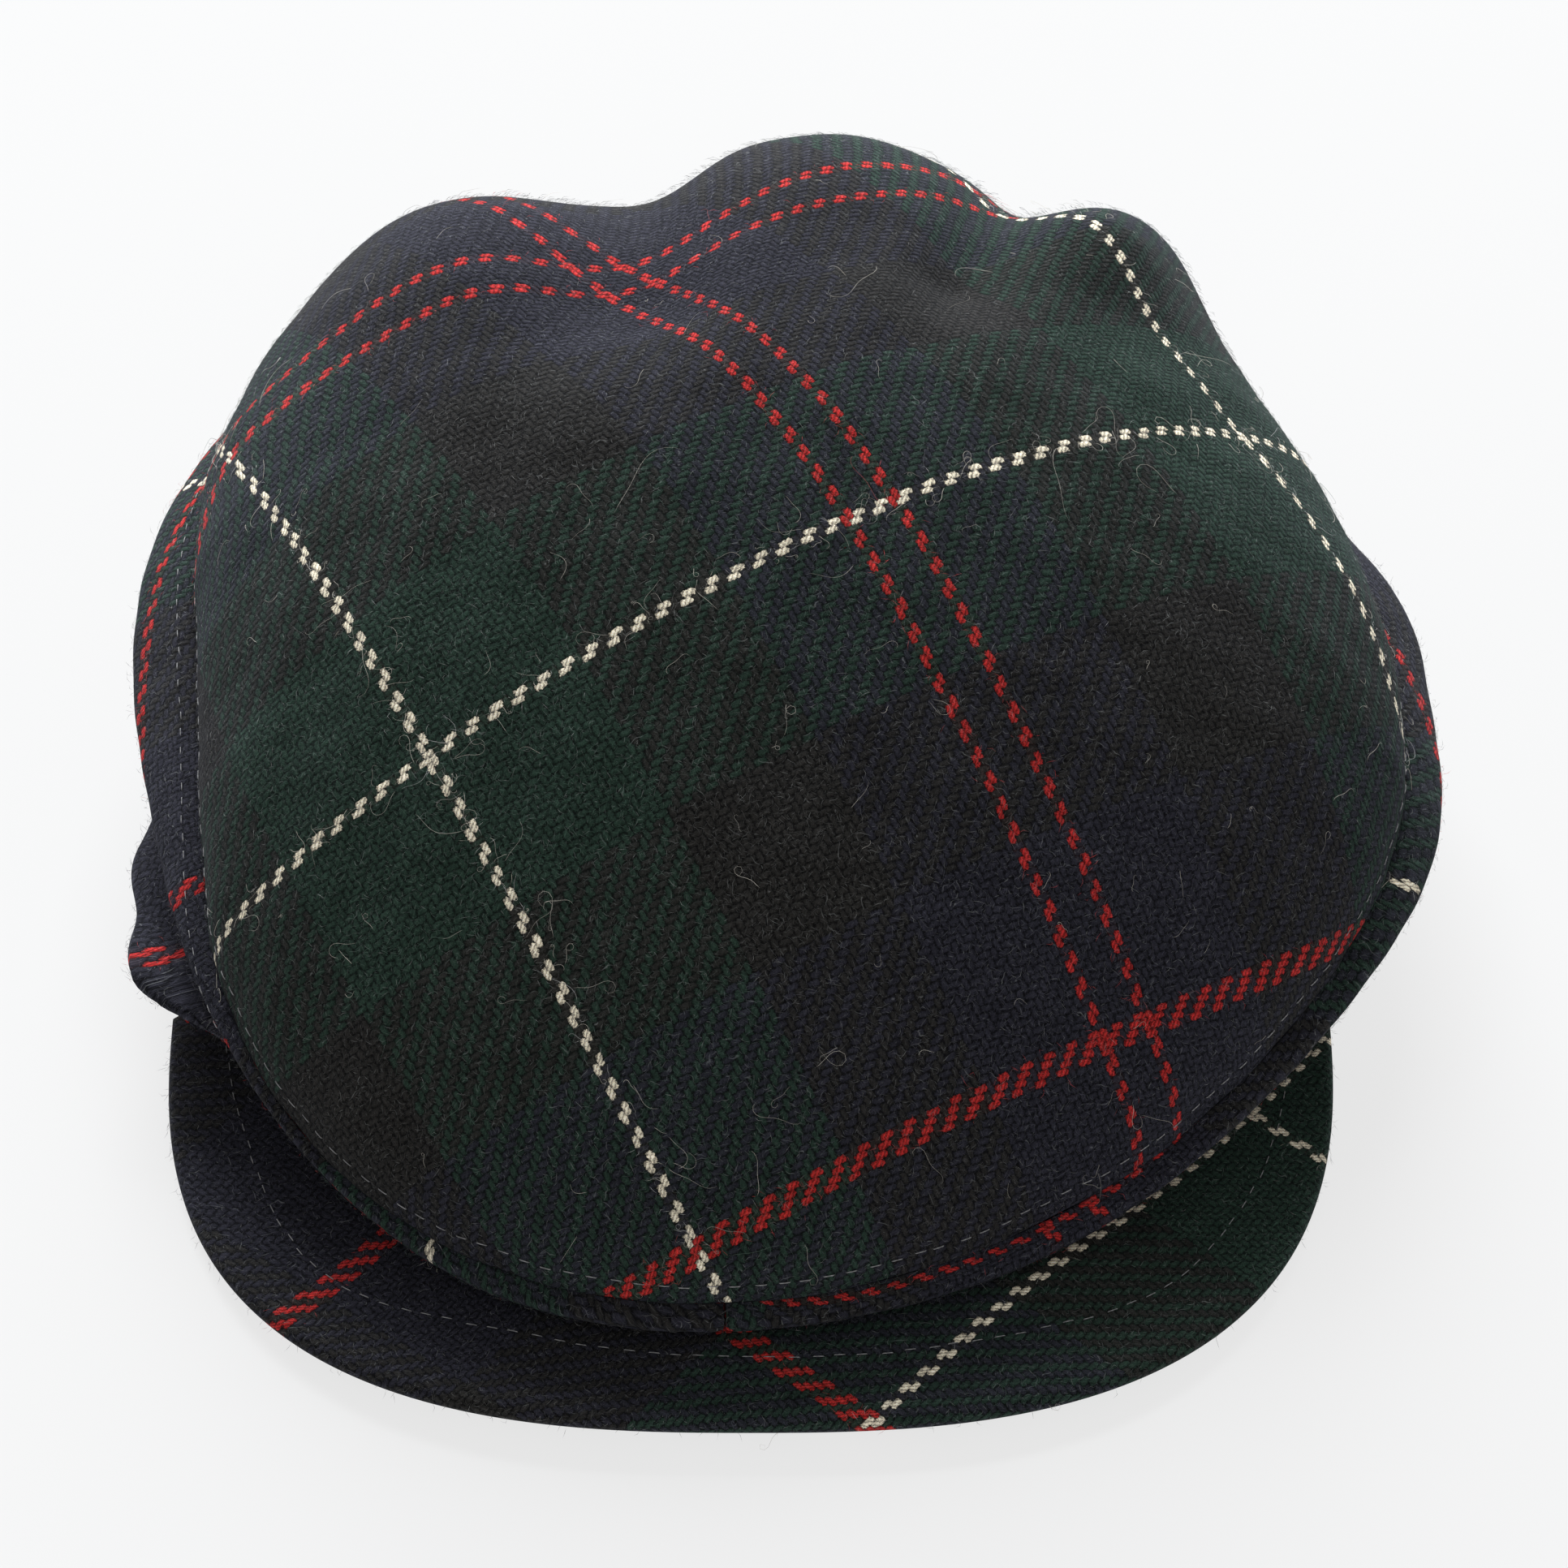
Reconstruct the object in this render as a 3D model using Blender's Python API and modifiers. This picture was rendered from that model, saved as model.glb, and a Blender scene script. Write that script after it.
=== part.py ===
"""Flat cap of thick tartan wool, lying on its hem and its peak.

Four pieces: a domed top panel, a left and a right side panel that are folded under it, and a
stiff peak. The front of the cap is at -Y, its right side at +X. The shape is worked out about
the middle of the head opening, on the floor, and the whole cap is then moved so that the
origin lies on the floor under the middle of its outline box.

Angles run round the cap from its front (0) by its right side (90) to its back (180).
Tables hold shares of the sizes named above them.
"""
import bmesh
import bpy
import numpy as np

# Cloth
CLOTH_THICKNESS = 0.0020
PIECE_GAP = 0.0003
CLOTH_ROUGHNESS = 0.95
COLOURS = {
    "top_panel": (0.030, 0.034, 0.035),
    "side_panel_right": (0.023, 0.025, 0.029),
    "side_panel_left": (0.022, 0.024, 0.030),
    "peak": (0.019, 0.022, 0.023),
}

# Head opening, an oval at the hem
OPENING_WIDTH = 0.166
OPENING_LENGTH = 0.192
HEM_CLIMB_ANGLE = 24.0       # degrees behind the peak's ends over which the hem comes off the floor

# Peak
PEAK_THICKNESS = 0.0034
PEAK_WIDTH = 0.195
PEAK_REACH = 0.0515          # from the front of the opening to the tip
PEAK_CORNER_LEAD = 0.056     # how far the corners lie ahead of the middle of the opening
PEAK_HALF_ANGLE = 66.0       # degrees of the hem that the peak is sewn to, each way from the front
PEAK_ROUNDNESS = 2.65        # exponent of the front edge: 2 is an ellipse, more is squarer
PEAK_ROOT_LIFT = 0.0036      # underside of the sewn edge above the floor
PEAK_ARCH = 0.003            # underside of the tip above the floor
PEAK_SWELL = 0.0020          # bulge of the peak between its sewn edge and its front edge

# Crown: the seam between the top panel and the side panels
CROWN_WIDTH = 0.220
CROWN_LENGTH = 0.228
CROWN_LEAD = 0.016           # how far the crown's middle lies ahead of the opening's
SEAM_RISE = 0.042            # highest run of the seam above the hem
SEAM_SHARES = (
    # angle, aside (half widths), back (half lengths), rise
    (0, -0.036, -1.004, 0.20),
    (30, 0.473, -0.829, 0.23),
    (60, 0.855, -0.482, 0.50),
    (90, 1.000, -0.079, 0.81),
    (120, 0.882, 0.421, 0.93),
    (150, 0.545, 0.842, 0.95),
    (180, 0.000, 0.991, 0.98),
    (210, -0.527, 0.842, 1.00),
    (240, -0.845, 0.439, 1.00),
    (270, -0.845, -0.053, 0.90),
    (300, -0.782, -0.509, 0.52),
    (330, -0.482, -0.873, 0.23),
)

# Dome of the top panel over its seam
DOME_HEIGHT = 0.058
DOME_BACK_EXTRA = 0.024      # how much more it would rise at the back of the seam
DOME_ROLL = 0.6              # less is flatter on top and steeper at the seam

# Folds and dents of the top panel, as strokes from one place of the disc to another
FOLD_HEIGHT = 0.010
FOLD_SHARES = (
    # from aside, from back, to aside, to back (shares of the disc), half width, height
    (-0.22, 0.40, -0.17, 0.95, 0.15, -0.75),
    (-0.45, 0.60, -0.62, 0.85, 0.20, 0.50),
    (0.12, 0.75, 0.20, 0.95, 0.20, 0.50),
    (0.31, 0.44, 0.42, 0.85, 0.08, -0.35),
    (0.50, 0.60, 0.58, 0.82, 0.12, 0.85),
    (0.74, 0.34, 0.84, 0.54, 0.12, -0.10),
)

# Side panels: they bulge into a lip below the seam, turn under, swell again and end in a band
LIP_OUT = 0.009
LIP_DOWN = 0.010
SWELL_OUT = 0.014
SWELL_RISE = 0.018
BAND_HEIGHT = 0.007
WALL_SHARES = (
    # angle, lip out, lip down, swell out, swell rise, band height
    (0, 0.28, 0.20, 1.00, 0.33, 0.15),
    (30, 0.33, 0.25, 1.00, 0.39, 0.15),
    (60, 0.35, 0.30, 1.00, 0.44, 0.30),
    (90, 0.65, 0.80, 0.85, 0.67, 0.80),
    (120, 0.60, 0.80, 0.70, 0.89, 1.00),
    (150, 0.45, 0.80, 0.35, 1.00, 1.00),
    (180, 0.45, 0.80, 0.20, 1.00, 1.00),
    (210, 0.45, 0.80, 0.35, 1.00, 1.00),
    (240, 0.90, 0.80, 0.65, 0.89, 1.00),
    (270, 1.00, 0.80, 1.20, 0.67, 0.80),
    (300, 0.25, 0.20, 1.00, 0.50, 0.30),
    (330, 0.22, 0.15, 1.00, 0.39, 0.15),
)
LOBE_SHARES = (
    # angle, half width (degrees), then lip out, lip down, swell out, swell rise to add
    (302, 7, 0.00, 0.00, 1.25, 0.30),
    (290, 8, 0.00, 0.00, 0.62, 0.12),
    (110, 8, 0.28, 0.00, 0.00, 0.00),
)

# Steps of the grids
TOP_STEPS = 32
PANEL_STEPS = 48
SECTION_STEPS = (2, 2, 2, 2, 2, 1)   # seam to lip, to its underside, inward, to swell, to band, to hem
PEAK_STEPS = (40, 5)
SLOPE_SHARE = 0.001                  # how far apart two places are taken for a slope


def harmonics(table, column):
    """Return the harmonics of a table's column, whose rows stand evenly round the cap."""
    turn = np.radians([row[0] for row in table])
    values = np.array([row[column] for row in table])
    orders = np.arange(len(table) // 2 + 1)
    parts = np.exp(-1j * np.outer(orders, turn)) @ values * 2 / len(table)
    parts[0] /= 2
    parts[-1] /= 2
    return parts


def fill_disc(parts, aside, back):
    """Carry rim values into the disc, as a soap film would: harmonic k follows the k-th power."""
    point = -back + 1j * aside
    return sum((part * point ** k).real for k, part in enumerate(parts))


def round_rim(table, column, turn):
    """Return a table's column at an angle in radians."""
    return fill_disc(harmonics(table, column), np.sin(turn), -np.cos(turn))


def hem(turn):
    """Return the outer line of the hem: an oval that climbs onto the peak in front."""
    forward = np.cos(turn)
    ends = np.cos(np.radians([PEAK_HALF_ANGLE + HEM_CLIMB_ANGLE, PEAK_HALF_ANGLE]))
    climb = np.clip((forward - ends[0]) / (ends[1] - ends[0]), 0, 1)
    climb = climb ** 2 * (3 - 2 * climb)
    lift = PEAK_ROOT_LIFT * np.clip(forward, 0, 1) ** 2
    return np.stack([
        OPENING_WIDTH / 2 * np.sin(turn),
        -OPENING_LENGTH / 2 * forward,
        (PEAK_THICKNESS + PIECE_GAP) * climb + lift,
    ], axis=-1)


def dome(aside, back):
    """Return the smooth dome of the top panel over a place of the disc."""
    x = CROWN_WIDTH / 2 * fill_disc(harmonics(SEAM_SHARES, 1), aside, back)
    y = CROWN_LENGTH / 2 * fill_disc(harmonics(SEAM_SHARES, 2), aside, back) - CROWN_LEAD
    hem_rises = [(row[0], hem(np.radians(row[0]))[2]) for row in SEAM_SHARES]
    hem_rise = fill_disc(harmonics(hem_rises, 1), aside, back)
    seam_rise = hem_rise + SEAM_RISE * fill_disc(harmonics(SEAM_SHARES, 3), aside, back)
    room = np.clip(1 - aside ** 2 - back ** 2, 0, 1)
    z = seam_rise + (DOME_HEIGHT + DOME_BACK_EXTRA * back) * room ** DOME_ROLL
    return np.stack([x, y, z], axis=-1)


def dome_normal(aside, back):
    """Return the dome's outward direction, from its slopes a small step each way."""
    inside = 1 - 2 * SLOPE_SHARE
    aside, back = aside * inside, back * inside
    across = dome(aside + SLOPE_SHARE, back) - dome(aside - SLOPE_SHARE, back)
    along = dome(aside, back + SLOPE_SHARE) - dome(aside, back - SLOPE_SHARE)
    normal = np.cross(across, along)
    return normal / np.linalg.norm(normal, axis=-1, keepdims=True)


def top_surface(aside, back):
    """Return the outer face of the top panel: the dome with its folds."""
    lift = np.zeros(np.shape(aside))
    for from_aside, from_back, to_aside, to_back, half_width, height in FOLD_SHARES:
        run_aside, run_back = to_aside - from_aside, to_back - from_back
        share = ((aside - from_aside) * run_aside + (back - from_back) * run_back)
        share = np.clip(share / (run_aside ** 2 + run_back ** 2), 0, 1)
        away = np.hypot(aside - from_aside - share * run_aside, back - from_back - share * run_back)
        lift = lift + FOLD_HEIGHT * height * np.exp(-(away / half_width) ** 2)
    return dome(aside, back) + lift[..., None] * dome_normal(aside, back)


def seam_line(turn):
    """Return the seam between the top panel and the side panels."""
    return top_surface(np.sin(turn), -np.cos(turn))


def wall_size(column, turn):
    """Return a column of WALL_SHARES at an angle, with its share of the lobes."""
    size = round_rim(WALL_SHARES, column, turn)
    for lobe in LOBE_SHARES:
        if column < len(lobe) - 1:
            off = (np.degrees(turn) - lobe[0] + 180) % 360 - 180
            size = size + lobe[column + 1] * np.exp(-(off / lobe[1]) ** 2)
    return size[..., None]


def section_points(turn):
    """Return the points that a side panel's section passes, from the seam down to the hem."""
    run = seam_line(turn + SLOPE_SHARE) - seam_line(turn - SLOPE_SHARE)
    out = np.stack([run[..., 1], -run[..., 0], np.zeros(np.shape(turn))], axis=-1)
    out = out / np.linalg.norm(out, axis=-1, keepdims=True)
    up = np.array([0.0, 0.0, 1.0])
    turn_under = CLOTH_THICKNESS + 2 * PIECE_GAP

    seam, low = seam_line(turn), hem(turn)
    lip = seam + LIP_OUT * wall_size(1, turn) * out - LIP_DOWN * wall_size(2, turn) * up
    under = lip - turn_under * (out + up)
    swell = low + SWELL_OUT * wall_size(3, turn) * out + SWELL_RISE * wall_size(4, turn) * up
    band = low + BAND_HEIGHT * wall_size(5, turn) * up
    tuck = (under + swell) / 2
    to_lip = lip - seam
    seam = seam + PIECE_GAP * to_lip / np.linalg.norm(to_lip, axis=-1, keepdims=True)
    return np.stack([seam, lip, under, tuck, swell, band, low])


def side_surface(turn, share):
    """Return the outer face of the side panels, a smooth curve through each section's points.

    The share runs from 0 at the seam by whole numbers over the section's points to the hem.
    """
    points = section_points(turn)
    first, last = 2 * points[:1] - points[1:2], 2 * points[-1:] - points[-2:-1]
    points = np.concatenate([first, points, last])
    start = np.clip(np.floor(share), 0, len(points) - 4).astype(int)
    part = (share - start)[..., None]
    before, here, after, beyond = (
        np.take_along_axis(points, (start + i)[None, ..., None], axis=0)[0] for i in range(4)
    )
    return here + 0.5 * part * (
        after - before
        + part * (2 * before - 5 * here + 4 * after - beyond
                  + part * (3 * here - before - 3 * after + beyond))
    )


def peak_surface(side, reach):
    """Return the upper face of the peak: side runs -1 to 1, reach 0 at the hem to 1 at the edge."""
    turn = np.radians(PEAK_HALF_ANGLE) * side
    root = hem(turn)
    inward = root * [1, 1, 0]
    root = root - CLOTH_THICKNESS * inward / np.linalg.norm(inward, axis=-1, keepdims=True)
    root[..., 2] = root[..., 2] - PIECE_GAP

    swing = np.pi / 2 * side
    power = 2 / PEAK_ROUNDNESS
    tip = OPENING_LENGTH / 2 + PEAK_REACH
    edge = np.stack([
        PEAK_WIDTH / 2 * np.sign(swing) * np.abs(np.sin(swing)) ** power,
        -PEAK_CORNER_LEAD - (tip - PEAK_CORNER_LEAD) * np.cos(swing) ** power,
        PEAK_THICKNESS + PEAK_ARCH * np.cos(swing) ** 2,
    ], axis=-1)
    point = root + (edge - root) * reach[..., None]
    point[..., 2] += PEAK_SWELL * np.sin(np.pi * reach) ** 2 * np.cos(swing)
    return point


def place_top(u, v):
    """Map a square grid onto the round top panel without a pole."""
    return top_surface(u * np.sqrt(1 - v ** 2 / 2), v * np.sqrt(1 - u ** 2 / 2))


def place_side(first_angle):
    """Return the map of a grid onto the side panel that starts at an angle and goes half way round."""
    inset = PIECE_GAP / OPENING_WIDTH

    def place(u, v):
        turn = np.radians(first_angle) + inset + (np.pi - 2 * inset) * (u + 1) / 2
        rows = np.concatenate([
            span + np.arange(steps) / steps for span, steps in enumerate(SECTION_STEPS)
        ] + [[len(SECTION_STEPS)]])
        row = np.rint((1 - v) / 2 * (len(rows) - 1)).astype(int)
        return side_surface(turn, rows[row])

    return place


def place_peak(u, v):
    """Map a grid onto the peak, its far rows on the hem."""
    return peak_surface(u, (1 - v) / 2)


def cloth_material(name):
    """Return a plain cloth material in the piece's mean colour."""
    material = bpy.data.materials.new(name)
    material.use_nodes = True
    shader = material.node_tree.nodes["Principled BSDF"]
    shader.inputs["Base Color"].default_value = (*COLOURS[name], 1.0)
    shader.inputs["Roughness"].default_value = CLOTH_ROUGHNESS
    shader.inputs["Metallic"].default_value = 0.0
    return material


def make_piece(name, steps, place, thickness, parent, collection):
    """Make a piece: a grid bent to its outer face, thickened inward by Solidify."""
    mesh = bpy.data.meshes.new(name)
    grid = bmesh.new()
    bmesh.ops.create_grid(grid, x_segments=steps[0], y_segments=steps[1], size=1.0)
    flat = np.array([vert.co[:] for vert in grid.verts])
    for vert, point in zip(grid.verts, place(flat[:, 0], flat[:, 1])):
        vert.co = point
    grid.to_mesh(mesh)
    grid.free()
    mesh.shade_smooth()
    mesh.materials.append(cloth_material(name))

    piece = bpy.data.objects.new(name, mesh)
    collection.objects.link(piece)
    piece.parent = parent
    solidify = piece.modifiers.new("Thickness", "SOLIDIFY")
    solidify.thickness = thickness
    solidify.offset = -1.0
    return piece


def stand_on_origin(parent, pieces):
    """Move the cap so that the origin lies under the middle of its box, on the floor."""
    bpy.context.view_layer.update()
    graph = bpy.context.evaluated_depsgraph_get()
    points = []
    for piece in pieces:
        mesh = piece.evaluated_get(graph).data
        flat = np.empty(len(mesh.vertices) * 3)
        mesh.vertices.foreach_get("co", flat)
        points.append(flat.reshape(-1, 3))
    points = np.concatenate(points)
    low, high = points.min(axis=0), points.max(axis=0)
    parent.location = (-(low[0] + high[0]) / 2, -(low[1] + high[1]) / 2, -low[2])


def main():
    """Build the cap in an empty scene."""
    for thing in list(bpy.data.objects):
        bpy.data.objects.remove(thing, do_unlink=True)
    collection = bpy.data.collections.new("flat_cap")
    bpy.context.scene.collection.children.link(collection)
    cap = bpy.data.objects.new("flat_cap", None)
    collection.objects.link(cap)

    section_rows = sum(SECTION_STEPS)
    pieces = [
        make_piece("top_panel", (TOP_STEPS, TOP_STEPS), place_top, CLOTH_THICKNESS, cap, collection),
        make_piece("side_panel_right", (PANEL_STEPS, section_rows), place_side(0),
                   CLOTH_THICKNESS, cap, collection),
        make_piece("side_panel_left", (PANEL_STEPS, section_rows), place_side(180),
                   CLOTH_THICKNESS, cap, collection),
        make_piece("peak", PEAK_STEPS, place_peak, PEAK_THICKNESS, cap, collection),
    ]
    stand_on_origin(cap, pieces)


main()
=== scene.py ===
"""A soft flat cap of napped tartan wool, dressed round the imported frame.

The cap's surfaces are worked out with numpy from the same named sizes as the frame's solids, on
fine grids. The tartan follows each panel as its cloth would: every panel is laid out flat with
its lengths and angles kept as well as can be, and the weave is counted in threads on that flat
piece. Lengths are in metres, angles run round the cap from its front (0) by its right side (90)
to its back (180).
"""
from __future__ import annotations

import logging
import math
from dataclasses import dataclass, field
from enum import Enum
from typing import Any, Callable, Sequence

import bpy
import numpy as np
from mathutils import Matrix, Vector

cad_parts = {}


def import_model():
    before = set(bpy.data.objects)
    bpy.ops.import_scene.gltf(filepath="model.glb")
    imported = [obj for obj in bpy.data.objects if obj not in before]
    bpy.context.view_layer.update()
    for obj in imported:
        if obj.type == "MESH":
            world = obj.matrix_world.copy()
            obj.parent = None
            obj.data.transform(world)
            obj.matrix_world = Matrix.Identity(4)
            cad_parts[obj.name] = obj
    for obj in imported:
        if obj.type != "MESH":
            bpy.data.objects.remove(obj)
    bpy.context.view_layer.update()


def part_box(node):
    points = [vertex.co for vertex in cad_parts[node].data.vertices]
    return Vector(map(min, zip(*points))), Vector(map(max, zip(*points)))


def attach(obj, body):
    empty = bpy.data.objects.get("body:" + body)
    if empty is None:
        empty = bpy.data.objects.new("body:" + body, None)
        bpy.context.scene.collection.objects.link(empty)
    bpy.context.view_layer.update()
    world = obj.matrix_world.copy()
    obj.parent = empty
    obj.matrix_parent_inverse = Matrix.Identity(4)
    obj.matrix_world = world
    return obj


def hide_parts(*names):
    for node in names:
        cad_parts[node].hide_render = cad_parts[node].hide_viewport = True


LOG = logging.getLogger("flat_cap")
Colour = tuple[float, float, float]
Stroke = tuple[float, ...]
Array = np.ndarray


# ----- finishes -----


class Dye(Enum):
    """Wool dyes of the tartan, as linear red, green and blue."""

    NAVY = (0.0208, 0.0206, 0.0290)
    BLACK = (0.0200, 0.0190, 0.0175)
    GREEN = (0.0175, 0.0350, 0.0250)
    RED = (0.4000, 0.0210, 0.0195)
    CREAM = (0.8200, 0.7400, 0.5800)


@dataclass(frozen=True)
class Sett:
    """The tartan's run of threads, counted outwards from the middle of its double red line.

    Each stripe says how many threads out it begins. The run turns round at the double red line
    and at the broad red line, as a tartan does.
    """

    stripes: tuple[tuple[int, Dye], ...] = (
        (0, Dye.NAVY), (3, Dye.RED), (5, Dye.NAVY), (24, Dye.BLACK), (48, Dye.GREEN),
        (73, Dye.CREAM), (75, Dye.GREEN), (101, Dye.BLACK), (127, Dye.NAVY), (156, Dye.RED),
    )
    half: int = 158
    middle: int = 74

    def fold(self, thread: Any) -> Any:
        """Return how far a thread lies from the double red line's middle.

        Args:
            thread: whole thread numbers, as an array or as a Value.

        Returns:
            The same kind of thing, from 0 to the half run.
        """
        shifted = thread + (0.5 - self.middle + self.half)
        if isinstance(thread, Value):
            return abs(shifted.wrap(2 * self.half) - self.half)
        return np.abs(np.mod(shifted, 2 * self.half) - self.half)

    def dye_at(self, thread: Array) -> Array:
        """Return the dye of whole thread numbers, as rows of red, green and blue."""
        starts = np.array([start for start, _ in self.stripes])
        dyes = np.array([dye.value for _, dye in self.stripes])
        return dyes[np.searchsorted(starts, self.fold(thread), side="right") - 1]

    def is_dye(self, thread: Array, dye: Dye) -> Array:
        """Return where whole thread numbers have a dye."""
        return np.all(np.isclose(self.dye_at(thread), dye.value), axis=-1)


def operator(operation: str, turned: bool = False) -> Callable[..., Value]:
    """Return a method that adds a Math node to a Value.

    Args:
        operation: the node's operation.
        turned: whether the other number comes first.

    Returns:
        The method.
    """
    def method(value: Value, *others: Any) -> Value:
        """Do the operation on this number and others."""
        numbers = (*others, value) if turned else (value, *others)
        made = value.desk.node("ShaderNodeMath", {"operation": operation}, dict(enumerate(numbers)))
        return Value(value.desk, made.outputs[0])

    return method


class Value:
    """A number in a shader. Arithmetic on it adds Math nodes."""

    def __init__(self, desk: Desk, socket: Any) -> None:
        """Wrap a node's output socket."""
        self.desk = desk
        self.socket = socket

    # wrap gives the remainder of a division, and above gives 1 over an edge and else 0
    __add__ = __radd__ = operator("ADD")
    __sub__ = operator("SUBTRACT")
    __rsub__ = operator("SUBTRACT", turned=True)
    __mul__ = __rmul__ = operator("MULTIPLY")
    __truediv__ = operator("DIVIDE")
    __abs__ = operator("ABSOLUTE")
    floor = operator("FLOOR")
    wrap = operator("FLOORED_MODULO")
    above = operator("GREATER_THAN")
    larger = operator("MAXIMUM")
    smaller = operator("MINIMUM")
    root = operator("SQRT")
    sine = operator("SINE")

    def clamp(self) -> Value:
        """Keep between 0 and 1."""
        return self.larger(0.0).smaller(1.0)


class Desk:
    """Where one material's nodes are put together."""

    def __init__(self, name: str) -> None:
        """Start a material with its Principled shader."""
        self.material = bpy.data.materials.new(name)
        self.material.use_nodes = True
        self.tree = self.material.node_tree
        self.shader = self.tree.nodes["Principled BSDF"]

    def node(self, kind: str, settings: dict[str, Any], inputs: dict[Any, Any]) -> Any:
        """Add a node.

        Args:
            kind: the node's type.
            settings: its own settings by name; "stops" are a ramp's (place, colour) pairs.
            inputs: a number, colour, Value or socket for each input's name or number.

        Returns:
            The node.
        """
        made = self.tree.nodes.new(kind)
        for name, setting in settings.items():
            if name == "stops":
                elements = made.color_ramp.elements
                made.color_ramp.interpolation = "CONSTANT"
                while len(elements) < len(setting):
                    elements.new(1.0)
                for element, (place, colour) in zip(elements, setting):
                    element.position = place
                    element.color = (*colour, 1.0)
            else:
                setattr(made, name, setting)
        for key, item in inputs.items():
            item = item.socket if isinstance(item, Value) else item
            if isinstance(item, bpy.types.NodeSocket):
                self.tree.links.new(item, made.inputs[key])
            else:
                made.inputs[key].default_value = item
        return made

    def noise(self, place: Any, scale: float, detail: float = 2.0, bend: float = 0.0) -> Value:
        """Return a noise from 0 to 1 over a place."""
        inputs = {"Vector": place, "Scale": scale, "Detail": detail, "Distortion": bend}
        return Value(self, self.node("ShaderNodeTexNoise", {}, inputs).outputs["Fac"])

    def mix(self, share: Any, first: Any, second: Any) -> Any:
        """Return one colour turned into another by a share."""
        return self.node("ShaderNodeMix", {"data_type": "RGBA"}, {0: share, 6: first, 7: second}).outputs[2]

    def parts(self, item: Any, kind: str = "XYZ") -> list[Value]:
        """Return the three numbers of a vector or, for the kind "Color", of a colour."""
        return [Value(self, part) for part in self.node(f"ShaderNodeSeparate{kind}", {}, {0: item}).outputs]

    def vector(self, operation: str, first: Any, second: Any = (0.0, 0.0, 0.0), output: int = 0) -> Any:
        """Return the vector result of a Vector Math node, or its number as output 1."""
        made = self.node("ShaderNodeVectorMath", {"operation": operation}, {0: first, 1: second})
        return made.outputs[output]

    def bump(self, height: Value, strength: float = 1.0) -> Any:
        """Return the directions of a surface raised by a height in metres."""
        sizes = {"Height": height, "Distance": 1.0, "Strength": strength}
        return self.node("ShaderNodeBump", {}, sizes).outputs[0]

    def shade(self, colour: Any, brightness: Any) -> Any:
        """Return a colour times a brightness."""
        inputs = {0: colour, "Scale": brightness}
        return self.node("ShaderNodeVectorMath", {"operation": "SCALE"}, inputs).outputs[0]

    def hairs(self, place: Any, shift: float, reach: float, half_width: float) -> tuple[Value, Any]:
        """Lay one short straight hair in each cell of a random pattern.

        A cell's own colour gives its hair's direction. The hair is where the distance from its
        line is small, fading towards its ends.

        Args:
            place: where on the cloth, in cells.
            shift: a number that makes this layer unlike the others.
            reach: half the length of a hair, in cells.
            half_width: half its width, in cells.

        Returns:
            How much hair there is, from 0 to 1, and the cell's random colour.
        """
        place = self.vector("ADD", place, (shift, 0.37 * shift, 0.0))
        cell = self.node("ShaderNodeTexVoronoi", {"voronoi_dimensions": "2D"},
                         {"Vector": place, "Scale": 1.0})
        way = self.vector("SUBTRACT", cell.outputs["Color"], (0.5, 0.5, 0.5))
        way = self.vector("NORMALIZE", self.vector("MULTIPLY", way, (1.0, 1.0, 0.0)))
        off = self.vector("SUBTRACT", place, cell.outputs["Position"])
        ahead = Value(self, self.vector("DOT_PRODUCT", off, way, output=1))
        away = Value(self, self.vector("LENGTH", off, output=1))
        aside = (away * away - ahead * ahead).larger(0.0).root()
        strength = (1 - aside / half_width).clamp() * (1 - ahead * ahead / reach ** 2).clamp()
        return strength, cell.outputs["Color"]

    def finish(self, constants: dict[str, Any], links: dict[str, Any]) -> bpy.types.Material:
        """Set and link the shader's own sockets and return the material."""
        for name, constant in constants.items():
            self.shader.inputs[name].default_value = constant
        for name, item in links.items():
            socket = item.socket if isinstance(item, Value) else item
            self.tree.links.new(socket, self.shader.inputs[name])
        return self.material


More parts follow.
